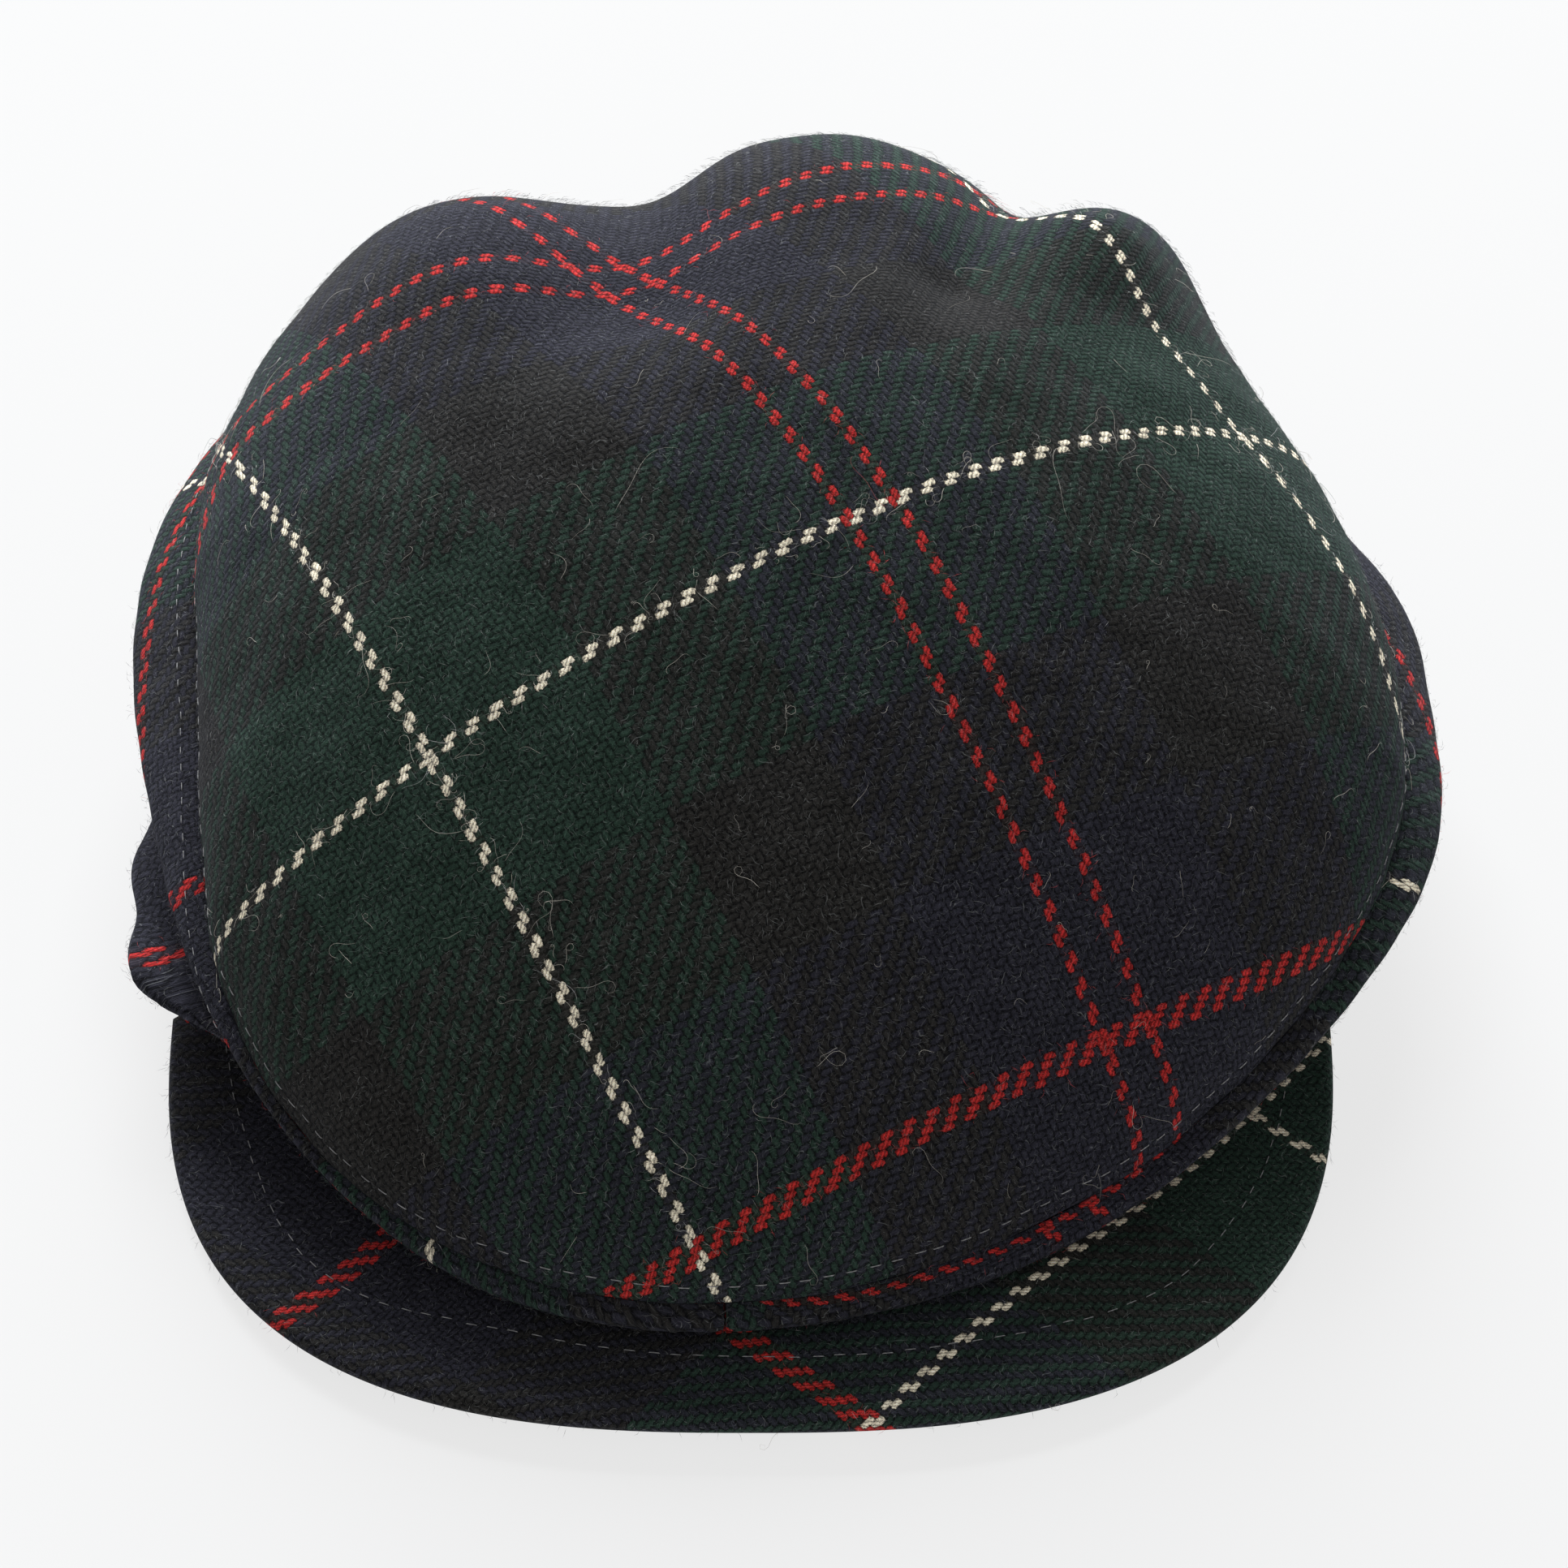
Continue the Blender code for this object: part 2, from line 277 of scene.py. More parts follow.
@dataclass(frozen=True)
class TartanCloth:
    """A two-and-two twill of thick woollen threads, napped.

    The UV map counts threads: u across the warp, v across the weft. A warp thread lies on top
    where the sum of the two whole thread numbers, over 4, leaves 0 or 1.
    """

    sett: Sett = Sett()
    thread_height: float = 0.00017
    nap_height: float = 0.00014
    # shares of those heights that plies, coarse noise and hairs add
    ply_share: float = 0.12
    coarse_share: float = 0.8
    hair_share: float = 0.35
    # how far threads wander and how ragged their edges are, in threads, with each noise's scale
    wander: float = 0.45
    wander_scale: float = 0.23
    rag: float = 0.34
    rag_scale: float = 2.9
    weft_shift: float = 57.3
    # how far a float drops to its ends, and how fast its plies turn along and across it
    end_drop: float = 0.8
    twist_ways: tuple[float, float] = (8.0, 4.0)
    fibre_scale: float = 2300.0
    coarse_scale: float = 420.0
    broad_scale: float = 26.0
    # how the dye thins out across and along a float, where it ends, how frayed and how sharply
    thin_across: float = 0.74
    thin_along: float = 0.86
    dye_edge: float = 0.20
    fray: float = 0.8
    sharpness: float = 2.6
    merging: float = 0.25
    # the painted shade of the felt in the gaps between floats
    gap_shade: float = 0.24
    # the redness from which a dye is a light one: red or cream
    light_edge: float = 0.2
    # the least brightness and what is added by a thread's hump, which paints shade on the float's sides and
    # ends, and by fine, coarse and broad noise
    swings: tuple[tuple[float, float], ...] = ((0.62, 0.66), (0.15, 1.70), (0.45, 1.10), (0.84, 0.32))
    plies: float = 0.18
    light_plies: float = 0.40
    felt_share: float = 0.10
    felt_limit: Colour = (0.045, 0.045, 0.035)
    # a painted sheen: a bluish light added to every hair's colour
    painted_sheen: Colour = (0.0062, 0.0072, 0.0070)
    # the pale hairs' colour, the chance from which hairs turn pale, how fast and how far
    pale: Colour = (0.24, 0.25, 0.25)
    pale_edge: float = 0.88
    pale_rise: float = 9.0
    pale_most: float = 0.75
    # the felt in a hair's dye, its painted highlight (how much lighter than its dye it is drawn) and its
    # cover, each with what chance adds
    hair_felt: float = 0.4
    painted_hair_highlight: tuple[float, float] = (1.3, 3.0)
    hair_cover: tuple[float, float] = (0.34, 0.52)
    layer_shift: float = 13.7
    # the scale and the reach, in threads, of the noise that bends the hairs' cells
    bend_scale: float = 0.55
    bend_reach: float = 1.6
    # cells to a thread, half length and half width in cells, for each layer of hairs
    hair_layers: tuple[tuple[float, float, float], ...] = (
        (2.30, 0.64, 0.115), (1.50, 0.64, 0.085), (0.90, 0.62, 0.060), (0.52, 0.58, 0.036),
    )
    sheen: float = 0.045
    sheen_tint: Colour = (0.74, 0.80, 1.0)

    def threads(self, desk: Desk, uv: Any) -> list[Value]:
        """Return the thread counts at a point, with the threads' wandering and ragged edges."""
        counts = []
        for count, shift in zip(desk.parts(uv), (0.0, self.weft_shift)):
            moved = desk.vector("ADD", uv, (shift, shift, 0.0))
            bend = (desk.noise(moved, self.wander_scale, detail=1.0) - 0.5) * (2 * self.wander)
            rag = (desk.noise(moved, self.rag_scale) - 0.5) * (2 * self.rag)
            counts.append(count + (bend + rag))
        return counts

    def stripe(self, desk: Desk, thread: Value) -> Any:
        """Return the dye of a whole thread number."""
        early = 0.2
        stops = [(max(start - early, 0.0) / self.sett.half, dye.value) for start, dye in self.sett.stripes]
        place = self.sett.fold(thread) / float(self.sett.half)
        return desk.node("ShaderNodeValToRGB", {"stops": stops}, {"Fac": place}).outputs[0]

    def hairs(self, desk: Desk, uv: Any, dye: Any, felt: Any, colour: Any) -> tuple[Any, Value]:
        """Lay hairs over the threads, in all directions, painted lighter than their dye as highlights, with
        a painted sheen added.

        Args:
            desk: the material's desk.
            uv: thread counts.
            dye: the dye of the thread below.
            felt: the felt's dye.
            colour: the threads' colour.

        Returns:
            The colour with the hairs on it, and how many hairs lie there.
        """
        noise = desk.node("ShaderNodeTexNoise", {}, {"Vector": uv, "Scale": self.bend_scale, "Detail": 1.0})
        reach = (self.bend_reach, self.bend_reach, 0.0)
        bent = desk.vector("ADD", uv, desk.vector("MULTIPLY", noise.outputs["Color"], reach))
        (light, more_light), (cover, more_cover) = self.painted_hair_highlight, self.hair_cover
        nap: Any = 0.0
        for layer, (cells, half_length, half_width) in enumerate(self.hair_layers):
            place = desk.vector("MULTIPLY", bent, (cells, cells, 0.0))
            hair, chance = desk.hairs(place, self.layer_shift * (layer + 1), half_length, half_width)
            blue = desk.parts(chance, "Color")[2]
            # painted highlight: each hair is drawn lighter than its dye, and the painted sheen is added to
            # it
            lit = desk.shade(desk.mix(self.hair_felt, dye, felt), light + blue * blue * more_light)
            pale = ((blue - self.pale_edge) * self.pale_rise).clamp() * self.pale_most
            lit = desk.mix(pale, desk.vector("ADD", lit, self.painted_sheen), (*self.pale, 1.0))
            colour = desk.mix(hair * (cover + blue * more_cover), colour, lit)
            nap = hair + nap
        return colour, nap

    def material(self, name: str) -> bpy.types.Material:
        """Build the material.

        A float's height is the product of two rounded humps, one across its thread and one
        along its two crossings. The humps also paint shade into the colour: a float is lighter in
        its middle and darker at its sides and ends. Its dye shows over a long tapered spot, and felt
        in the gaps round it, which has both threads' dyes and is darkened there as painted shade.
        The red and cream threads run together a little more, and their plies show. Hairs of its own
        dye, painted lighter as highlights and with a painted sheen added, and a few pale ones lie over
        it in all directions, and a fine fibrous noise breaks up both the colour and the height.
        """
        desk = Desk(name)
        uv = desk.node("ShaderNodeUVMap", {"uv_map": "Weave"}, {}).outputs[0]
        warp, weft = self.threads(desk, uv)
        i, j = warp.floor(), weft.floor()
        in_i, in_j = warp - i, weft - j
        turn = (i + j).wrap(4.0)
        weft_up = turn.above(1.5)
        along = (turn + in_j) * (1 - weft_up) + (turn - 2.0 + in_i) * weft_up - 1.0
        across = (in_i * (1 - weft_up) + in_j * weft_up) * 2.0 - 1.0
        hump = (1 - across * across) * (1 - along * along * self.end_drop)

        spot = desk.node("ShaderNodeTexCoord", {}, {}).outputs["Object"]
        fibres = desk.noise(spot, self.fibre_scale, detail=3.0, bend=1.6)
        coarse, broad = desk.noise(spot, self.coarse_scale), desk.noise(spot, self.broad_scale)
        twist = (along * self.twist_ways[0] + across * self.twist_ways[1]).sine() * 0.5 + 0.5

        first, second = self.stripe(desk, i), self.stripe(desk, j)
        dye = desk.mix(weft_up, first, second)
        felt = desk.vector("MINIMUM", desk.mix(0.5, first, second), self.felt_limit)
        light = desk.parts(dye, "Color")[0].above(self.light_edge)
        cover = 1 - across * across * self.thin_across - along * along * along * along * self.thin_along
        cover = cover - self.dye_edge + light * self.merging + (fibres - 0.5) * self.fray
        # painted shade: the gaps round a float's dyed spot get the felt, darkened
        dye = desk.mix((cover * self.sharpness).clamp(), desk.shade(felt, self.gap_shade), dye)
        # the hump's factor is painted shade: floats are lighter in their middles and darker at their sides
        # and ends; the noises vary the tone at random
        bright = math.prod(least + part * added
                           for part, (least, added) in zip((hump, fibres, coarse, broad), self.swings))
        plies = self.plies + light * self.light_plies
        threads = desk.shade(dye, bright * (1 - plies + twist * plies * 2.0))
        colour = desk.mix(self.felt_share, threads, desk.shade(felt, bright))
        colour, nap = self.hairs(desk, uv, dye, felt, colour)

        height = hump * self.thread_height + twist * hump * (self.ply_share * self.thread_height)
        height = height + (fibres + coarse * self.coarse_share) * self.nap_height
        height = height + nap * (self.hair_share * self.nap_height)
        return desk.finish(
            {"Roughness": 0.95, "Specular IOR Level": 0.08, "Sheen Weight": self.sheen,
             "Sheen Roughness": 0.5, "Sheen Tint": (*self.sheen_tint, 1.0)},
            {"Base Color": colour, "Normal": desk.bump(height, strength=0.8)},
        )


@dataclass(frozen=True)
class FibreFinish:
    """Single wool fibres, each in the dye of the thread that it comes from."""

    sheen: float = 0.25

    def material(self, name: str) -> bpy.types.Material:
        """Build the material."""
        desk = Desk(name)
        dye = desk.node("ShaderNodeAttribute", {"attribute_name": "dye"}, {}).outputs["Color"]
        return desk.finish({"Roughness": 0.75, "Specular IOR Level": 0.3, "Sheen Weight": self.sheen},
                           {"Base Color": dye})


@dataclass(frozen=True)
class StitchFinish:
    """Fine twisted sewing thread of a pale grey."""

    colour: Colour = (0.34, 0.34, 0.35)
    plies_per_metre: float = 5200.0
    ply_height: float = 0.00003
    wear_scale: float = 90.0
    # the least brightness and what is added by the plies and by wear
    ply_light: tuple[float, float] = (0.62, 0.4)
    wear_light: tuple[float, float] = (0.65, 0.7)

    def material(self, name: str) -> bpy.types.Material:
        """Build the material: light and dark plies slant round the thread."""
        desk = Desk(name)
        spot = desk.node("ShaderNodeTexCoord", {}, {}).outputs["Object"]
        x, y, z = desk.parts(spot)
        ply = ((x + y + z * 0.6) * self.plies_per_metre).sine() * 0.5 + 0.5
        wear = desk.noise(spot, self.wear_scale)
        (least, ply_adds), (worn, wear_adds) = self.ply_light, self.wear_light
        colour = desk.shade(self.colour, (least + ply * ply_adds) * (worn + wear * wear_adds))
        return desk.finish({"Roughness": 0.6, "Sheen Weight": 0.1},
                           {"Base Color": colour, "Normal": desk.bump(ply * self.ply_height)})


@dataclass(frozen=True)
class PlainFinish:
    """A plain pale surface for the floor."""

    colour: Colour = (0.12, 0.12, 0.12)
    glow: float = 0.75

    def material(self, name: str) -> bpy.types.Material:
        """Build the material: a light table's top, which glows."""
        return Desk(name).finish({"Base Color": (*self.colour, 1.0), "Roughness": 0.9,
                                  "Specular IOR Level": 0.1, "Emission Color": (1.0, 1.0, 1.0, 1.0),
                                  "Emission Strength": self.glow}, {})


# ----- grids and cloth -----


def unit(vectors: Array) -> Array:
    """Return vectors at length 1."""
    return vectors / np.maximum(np.linalg.norm(vectors, axis=-1, keepdims=True), 1e-12)


def grid_quads(rows: int, columns: int, closed: bool = False) -> Array:
    """Return the corner numbers of a grid's faces.

    Args:
        rows: how many rows of points there are.
        columns: how many points a row has.
        closed: whether the last row joins the first.

    Returns:
        An array of four corners to a face.
    """
    row, column = np.indices((rows if closed else rows - 1, columns - 1))
    after = (row + 1) % rows
    corners = (row * columns + column, row * columns + column + 1,
               after * columns + column + 1, after * columns + column)
    return np.stack(corners, axis=-1).reshape(-1, 4)


def cubic(before: Array, here: Array, after: Array, beyond: Array, part: Array) -> Array:
    """Return places from here to after by Catmull-Rom's cubic, which heads as the four rows lie."""
    return here + 0.5 * part * (after - before + part * (
        2 * before - 5 * here + 4 * after - beyond + part * (3 * here - before - 3 * after + beyond)))


def lengthened(values: Array) -> Array:
    """Return a table with one row more at each end, straight on."""
    return np.concatenate([2 * values[:1] - values[1:2], values, 2 * values[-1:] - values[-2:-1]])


def between(values: Array, places: Array) -> Array:
    """Return rows of a table at fractional places, by a cubic through the four rows around."""
    start = np.clip(np.floor(places), 0, len(values) - 2).astype(int)
    part = (places - start).reshape(-1, *[1] * (values.ndim - 1))
    rows = lengthened(values)
    return cubic(*(rows[start + i] for i in range(4)), part)


def finer(table: Array, rows: Array, columns: Array) -> Array:
    """Return a grid's values at fractional rows and columns."""
    return between(between(table, rows).swapaxes(0, 1), columns).swapaxes(0, 1)


def turned(flat: Array, angle: float) -> Array:
    """Return flat places turned about 0 by an angle in radians."""
    cos, sin = math.cos(angle), math.sin(angle)
    return flat @ np.array([[cos, sin], [-sin, cos]])


def along_stroke(aside: Array, back: Array, ends: Sequence[float], half_width: float) -> Array:
    """Return a soft stroke from one place to another: a bell curve of the distance from it."""
    from_aside, from_back, to_aside, to_back = ends
    run_aside, run_back = to_aside - from_aside, to_back - from_back
    share = (aside - from_aside) * run_aside + (back - from_back) * run_back
    share = np.clip(share / max(run_aside ** 2 + run_back ** 2, 1e-9), 0, 1)
    away = np.hypot(aside - from_aside - share * run_aside, back - from_back - share * run_back)
    return np.exp(-(away / half_width) ** 2)


def ripples(waves: Sequence[Stroke], first: Array, second: Array) -> Array:
    """Return a sum of ripples, each a strength times two sines.

    Args:
        waves: rows of a strength and, for each sine, how fast it turns with the two places and
            its phase.
        first: the first place of each point.
        second: its second place.

    Returns:
        The ripples' height.
    """
    return sum(strength * np.sin(a * first + b * second + c) * np.sin(d * first + e * second + f)
               for strength, a, b, c, d, e, f in waves)


def lay_flat(points: Array, start: Array, rounds: int = 30) -> Array:
    """Lay a grid of cloth out flat, as rigidly as it can be.

    Each triangle is turned to fit the flat layout best, and then all points are moved together
    to fit the turned triangles best, with each edge weighted by the cotangents of the angles
    that face it. The two steps repeat.

    Args:
        points: a grid of points, rows by columns by 3.
        start: a first flat layout, rows by columns by 2.
        rounds: how often the two steps are done.

    Returns:
        The flat layout in metres, rows by columns by 2.
    """
    rows, columns = points.shape[:2]
    quads = grid_quads(rows, columns)
    triangles = np.concatenate([quads[:, [0, 1, 2]], quads[:, [0, 2, 3]]])
    corner = points.reshape(-1, 3)[triangles]
    first, second = corner[:, 1] - corner[:, 0], corner[:, 2] - corner[:, 0]
    length = np.linalg.norm(first, axis=1)
    reach = np.sum(first * second, axis=1) / length
    own = np.zeros((len(triangles), 3, 2))
    own[:, 1, 0], own[:, 2, 0] = length, reach
    own[:, 2, 1] = np.sqrt(np.maximum(np.sum(second ** 2, axis=1) - reach ** 2, 1e-16))

    count = rows * columns
    matrix = np.zeros((count, count))
    edges = []
    for k, a, b in ((0, 1, 2), (1, 2, 0), (2, 0, 1)):
        left, right = own[:, a] - own[:, k], own[:, b] - own[:, k]
        area = left[:, 0] * right[:, 1] - left[:, 1] * right[:, 0]
        weight = np.clip(np.sum(left * right, axis=1) / np.maximum(area, 1e-12), -20, 20) / 2
        edges.append((a, b, weight))
        one, two = triangles[:, a], triangles[:, b]
        np.add.at(matrix, (one, one), weight)
        np.add.at(matrix, (two, two), weight)
        np.add.at(matrix, (one, two), -weight)
        np.add.at(matrix, (two, one), -weight)
    matrix[0, 0] += 1.0
    inverse = np.linalg.inv(matrix + np.eye(count) * 1e-9)

    flat = start.reshape(-1, 2).copy()
    for _ in range(rounds):
        now = flat[triangles]
        spread = sum(weight[:, None, None] * (now[:, a] - now[:, b])[:, :, None]
                     * (own[:, a] - own[:, b])[:, None, :] for a, b, weight in edges)
        turn = np.arctan2(spread[:, 1, 0] - spread[:, 0, 1], spread[:, 0, 0] + spread[:, 1, 1])
        cos, sin = np.cos(turn), np.sin(turn)
        turning = np.stack([cos, -sin, sin, cos], axis=-1).reshape(-1, 2, 2)
        pull = np.zeros((count, 2))
        for a, b, weight in edges:
            wanted = weight[:, None] * np.einsum("tij,tj->ti", turning, own[:, a] - own[:, b])
            np.add.at(pull, triangles[:, a], wanted)
            np.add.at(pull, triangles[:, b], -wanted)
        pull[0] += flat[0]
        flat = inverse @ pull
    return flat.reshape(rows, columns, 2)


@dataclass(frozen=True)
class Ground:
    """A panel's outer face: its points, outward directions and thread counts, on one grid."""

    points: Array
    normals: Array
    weave: Array

    def scatter(self, count: int, rng: np.random.Generator, keen: Array | None = None) -> tuple[Array, ...]:
        """Pick random places on the face, evenly over its area.

        Args:
            count: how many places.
            rng: the seeded source of chance.
            keen: how much more often each grid cell is picked, if not evenly.

        Returns:
            Points, outward directions and thread counts.
        """
        p = self.points
        area = np.linalg.norm(np.cross(p[1:, :-1] - p[:-1, :-1], p[:-1, 1:] - p[:-1, :-1]), axis=-1)
        chance = (area if keen is None else area * keen).ravel()
        cell = rng.choice(len(chance), count, p=chance / chance.sum())
        row, column = np.divmod(cell, p.shape[1] - 1)
        down, over = rng.random((2, count, 1))

        def blend(table: Array) -> Array:
            """Return the table's values inside the picked cells."""
            top = table[row, column] * (1 - over) + table[row, column + 1] * over
            low = table[row + 1, column] * (1 - over) + table[row + 1, column + 1] * over
            return top * (1 - down) + low * down

        return blend(p), unit(blend(self.normals)), blend(self.weave)


def grid_normals(points: Array) -> Array:
    """Return the directions across a grid: rows' slope crossed with columns' slope."""
    return unit(np.cross(np.gradient(points, axis=0), np.gradient(points, axis=1)))


class Workshop:
    """Turns arrays into pieces that ride on the frame."""

    def piece(self, name: str, points: Array, faces: Array | list, finish: bpy.types.Material,
              slot: str, weave: Array | None = None, dyes: Array | None = None) -> bpy.types.Object:
        """Make a piece from points and faces.

        Args:
            name: the piece's name.
            points: rows of x, y and z.
            faces: rows of corner numbers.
            finish: its material.
            slot: the record's material slot that it belongs to; not used.
            weave: thread counts for each point, if it is woven.
            dyes: a colour for each point, if it has several.

        Returns:
            The piece, riding on the cap's one body.
        """
        mesh = bpy.data.meshes.new(name)
        rows = faces if isinstance(faces, list) else faces.tolist()
        mesh.from_pydata(points.reshape(-1, 3).tolist(), [], rows)
        if weave is not None:
            corner = np.empty(len(mesh.loops), dtype=np.int64)
            mesh.loops.foreach_get("vertex_index", corner)
            counts = weave.reshape(-1, 2)[corner].astype(np.float32)
            mesh.uv_layers.new(name="Weave").data.foreach_set("uv", counts.ravel())
        if dyes is not None:
            tint = np.concatenate([dyes, np.ones((len(dyes), 1))], axis=1).astype(np.float32)
            mesh.attributes.new("dye", "FLOAT_COLOR", "POINT").data.foreach_set("color", tint.ravel())
        mesh.shade_smooth()
        mesh.materials.append(finish)
        made = bpy.data.objects.new(name, mesh)
        bpy.context.scene.collection.objects.link(made)
        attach(made, "root")
        LOG.info("%s: %d points, %d faces", name, len(mesh.vertices), len(mesh.polygons))
        return made

    def thicken(self, piece: bpy.types.Object, thickness: float) -> None:
        """Give a sheet its thickness, inwards."""
        wall = piece.modifiers.new("Thickness", "SOLIDIFY")
        wall.thickness = thickness
        wall.offset = -1.0

    def tubes(self, name: str, paths: Array, ups: Array, radii: Array, sides: int,
              finish: bpy.types.Material, slot: str, dyes: Array | None = None) -> None:
        """Make many thin closed tubes at once.

        A ring of points stands round each inner point of each path: the path's up direction
        times the cosine plus its sideways direction times the sine of the ring's angles. Both
        ends run out to a point.

        Args:
            name: the piece's name.
            paths: tubes by points by 3.
            ups: a direction off the cloth for each tube.
            radii: tubes by points; those of the two ends aren't used.
            sides: corners of a ring.
            finish: the material.
            slot: the record's material slot.
            dyes: a colour for each tube.
        """
        count, steps = paths.shape[:2]
        run = unit(np.gradient(paths, axis=1))[:, 1:-1]
        sideways = unit(np.cross(run, ups[:, None, :]))
        up = np.cross(sideways, run)
        angle = np.arange(sides) * 2 * np.pi / sides
        ring = up[:, :, None, :] * np.cos(angle)[:, None] + sideways[:, :, None, :] * np.sin(angle)[:, None]
        rings = paths[:, 1:-1, None, :] + radii[:, 1:-1, None, None] * ring
        points = np.concatenate([paths[:, :1], rings.reshape(count, -1, 3), paths[:, -1:]], axis=1)

        step, side = np.indices((steps - 3, sides))
        after = (side + 1) % sides
        quads = 1 + np.stack([step * sides + side, (step + 1) * sides + side,
                              (step + 1) * sides + after, step * sides + after], axis=-1).reshape(-1, 4)
        here, beside = np.arange(sides), np.roll(np.arange(sides), -1)
        last, size = (steps - 3) * sides + 1, (steps - 2) * sides + 2
        fans = np.concatenate([np.stack([1 + here, 1 + beside, 0 * here], axis=-1),
                               np.stack([last + beside, last + here, 0 * here + size - 1], axis=-1)])
        starts = (np.arange(count) * size)[:, None, None]
        faces = (quads + starts).reshape(-1, 4).tolist() + (fans + starts).reshape(-1, 3).tolist()
        tints = None if dyes is None else np.repeat(dyes, size, axis=0)
        self.piece(name, points, faces, finish, slot, dyes=tints)


# ----- the cap's form -----


@dataclass(frozen=True)
class CapForm:
    """The cap's surfaces, with the sizes and tables of its solids."""

    cloth_thickness: float = 0.0020
    piece_gap: float = 0.0003
    opening_width: float = 0.166
    opening_length: float = 0.192
    hem_climb_angle: float = 24.0
    peak_thickness: float = 0.0034
    peak_width: float = 0.195
    peak_reach: float = 0.0515
    peak_corner_lead: float = 0.056
    peak_half_angle: float = 66.0
    peak_roundness: float = 2.65
    peak_root_lift: float = 0.0036
    peak_arch: float = 0.003
    peak_swell: float = 0.0020
    crown_width: float = 0.220
    crown_length: float = 0.228
    crown_lead: float = 0.016
    seam_rise: float = 0.042
    dome_height: float = 0.058
    dome_back_extra: float = 0.024
    dome_roll: float = 0.6
    fold_height: float = 0.010
    lip_out: float = 0.009
    lip_down: float = 0.010
    swell_out: float = 0.014
    swell_rise: float = 0.018
    band_height: float = 0.007
    slope_share: float = 0.001
    # angle, aside (half widths), back (half lengths), rise
    seam: tuple[Stroke, ...] = (
        (0, -0.036, -1.004, 0.20), (30, 0.473, -0.829, 0.23), (60, 0.855, -0.482, 0.50),
        (90, 1.000, -0.079, 0.81), (120, 0.882, 0.421, 0.93), (150, 0.545, 0.842, 0.95),
        (180, 0.000, 0.991, 0.98), (210, -0.527, 0.842, 1.00), (240, -0.845, 0.439, 1.00),
        (270, -0.845, -0.053, 0.90), (300, -0.782, -0.509, 0.52), (330, -0.482, -0.873, 0.23),
    )
    # from aside, from back, to aside, to back, half width, height
    folds: tuple[Stroke, ...] = (
        (-0.22, 0.40, -0.17, 0.95, 0.15, -0.75), (-0.45, 0.60, -0.62, 0.85, 0.20, 0.50),
        (0.12, 0.75, 0.20, 0.95, 0.20, 0.50), (0.31, 0.44, 0.42, 0.85, 0.08, -0.35),
        (0.50, 0.60, 0.58, 0.82, 0.12, 0.85), (0.74, 0.34, 0.84, 0.54, 0.12, -0.10),
    )
    # angle, lip out, lip down, swell out, swell rise, band height
    wall: tuple[Stroke, ...] = (
        (0, 0.28, 0.20, 1.00, 0.33, 0.15), (30, 0.33, 0.25, 1.00, 0.39, 0.15),
        (60, 0.35, 0.30, 1.00, 0.44, 0.30), (90, 0.65, 0.80, 0.85, 0.67, 0.80),
        (120, 0.60, 0.80, 0.70, 0.89, 1.00), (150, 0.45, 0.80, 0.35, 1.00, 1.00),
        (180, 0.45, 0.80, 0.20, 1.00, 1.00), (210, 0.45, 0.80, 0.35, 1.00, 1.00),
        (240, 0.90, 0.80, 0.65, 0.89, 1.00), (270, 1.00, 0.80, 1.20, 0.67, 0.80),
        (300, 0.25, 0.20, 1.00, 0.50, 0.30), (330, 0.22, 0.15, 1.00, 0.39, 0.15),
    )
    # angle, half width (degrees), then lip out, lip down, swell out, swell rise to add
    lobes: tuple[Stroke, ...] = (
        (302, 7, 0.00, 0.00, 1.25, 0.30), (290, 8, 0.00, 0.00, 0.62, 0.12),
        (110, 8, 0.28, 0.00, 0.00, 0.00),
    )

    def harmonics(self, table: Sequence[Stroke], column: int) -> Array:
        """Return the harmonics of a table's column, whose rows stand evenly round the cap."""
        turn = np.radians([row[0] for row in table])
        values = np.array([row[column] for row in table])
        orders = np.arange(len(table) // 2 + 1)
        parts = np.exp(-1j * np.outer(orders, turn)) @ values * 2 / len(table)
        parts[0] /= 2
        parts[-1] /= 2
        return parts

    def fill_disc(self, parts: Array, aside: Array, back: Array) -> Array:
        """Carry rim values into the disc, as a soap film would: harmonic k follows the k-th power."""
        point = -back + 1j * aside
        return sum((part * point ** k).real for k, part in enumerate(parts))

    def round_rim(self, table: Sequence[Stroke], column: int, turn: Array) -> Array:
        """Return a table's column at an angle in radians."""
        return self.fill_disc(self.harmonics(table, column), np.sin(turn), -np.cos(turn))

    def hem(self, turn: Array) -> Array:
        """Return the outer line of the hem: an oval that climbs onto the peak in front."""
        forward = np.cos(turn)
        ends = np.cos(np.radians([self.peak_half_angle + self.hem_climb_angle, self.peak_half_angle]))
        climb = np.clip((forward - ends[0]) / (ends[1] - ends[0]), 0, 1)
        climb = climb ** 2 * (3 - 2 * climb)
        lift = self.peak_root_lift * np.clip(forward, 0, 1) ** 2
        rise = (self.peak_thickness + self.piece_gap) * climb + lift
        x, y = self.opening_width / 2 * np.sin(turn), -self.opening_length / 2 * forward
        return np.stack([x, y, rise], axis=-1)

    def dome(self, aside: Array, back: Array) -> Array:
        """Return the smooth dome of the top panel: its seam's soap film plus a rounded height."""
        x, y, rise = (size * self.fill_disc(self.harmonics(self.seam, column), aside, back)
                      for column, size in enumerate(
                          (self.crown_width / 2, self.crown_length / 2, self.seam_rise), start=1))
        hem_rises = [(row[0], self.hem(np.radians(row[0]))[2]) for row in self.seam]
        rise = self.fill_disc(self.harmonics(hem_rises, 1), aside, back) + rise
        room = np.clip(1 - aside ** 2 - back ** 2, 0, 1)
        z = rise + (self.dome_height + self.dome_back_extra * back) * room ** self.dome_roll
        return np.stack([x, y - self.crown_lead, z], axis=-1)

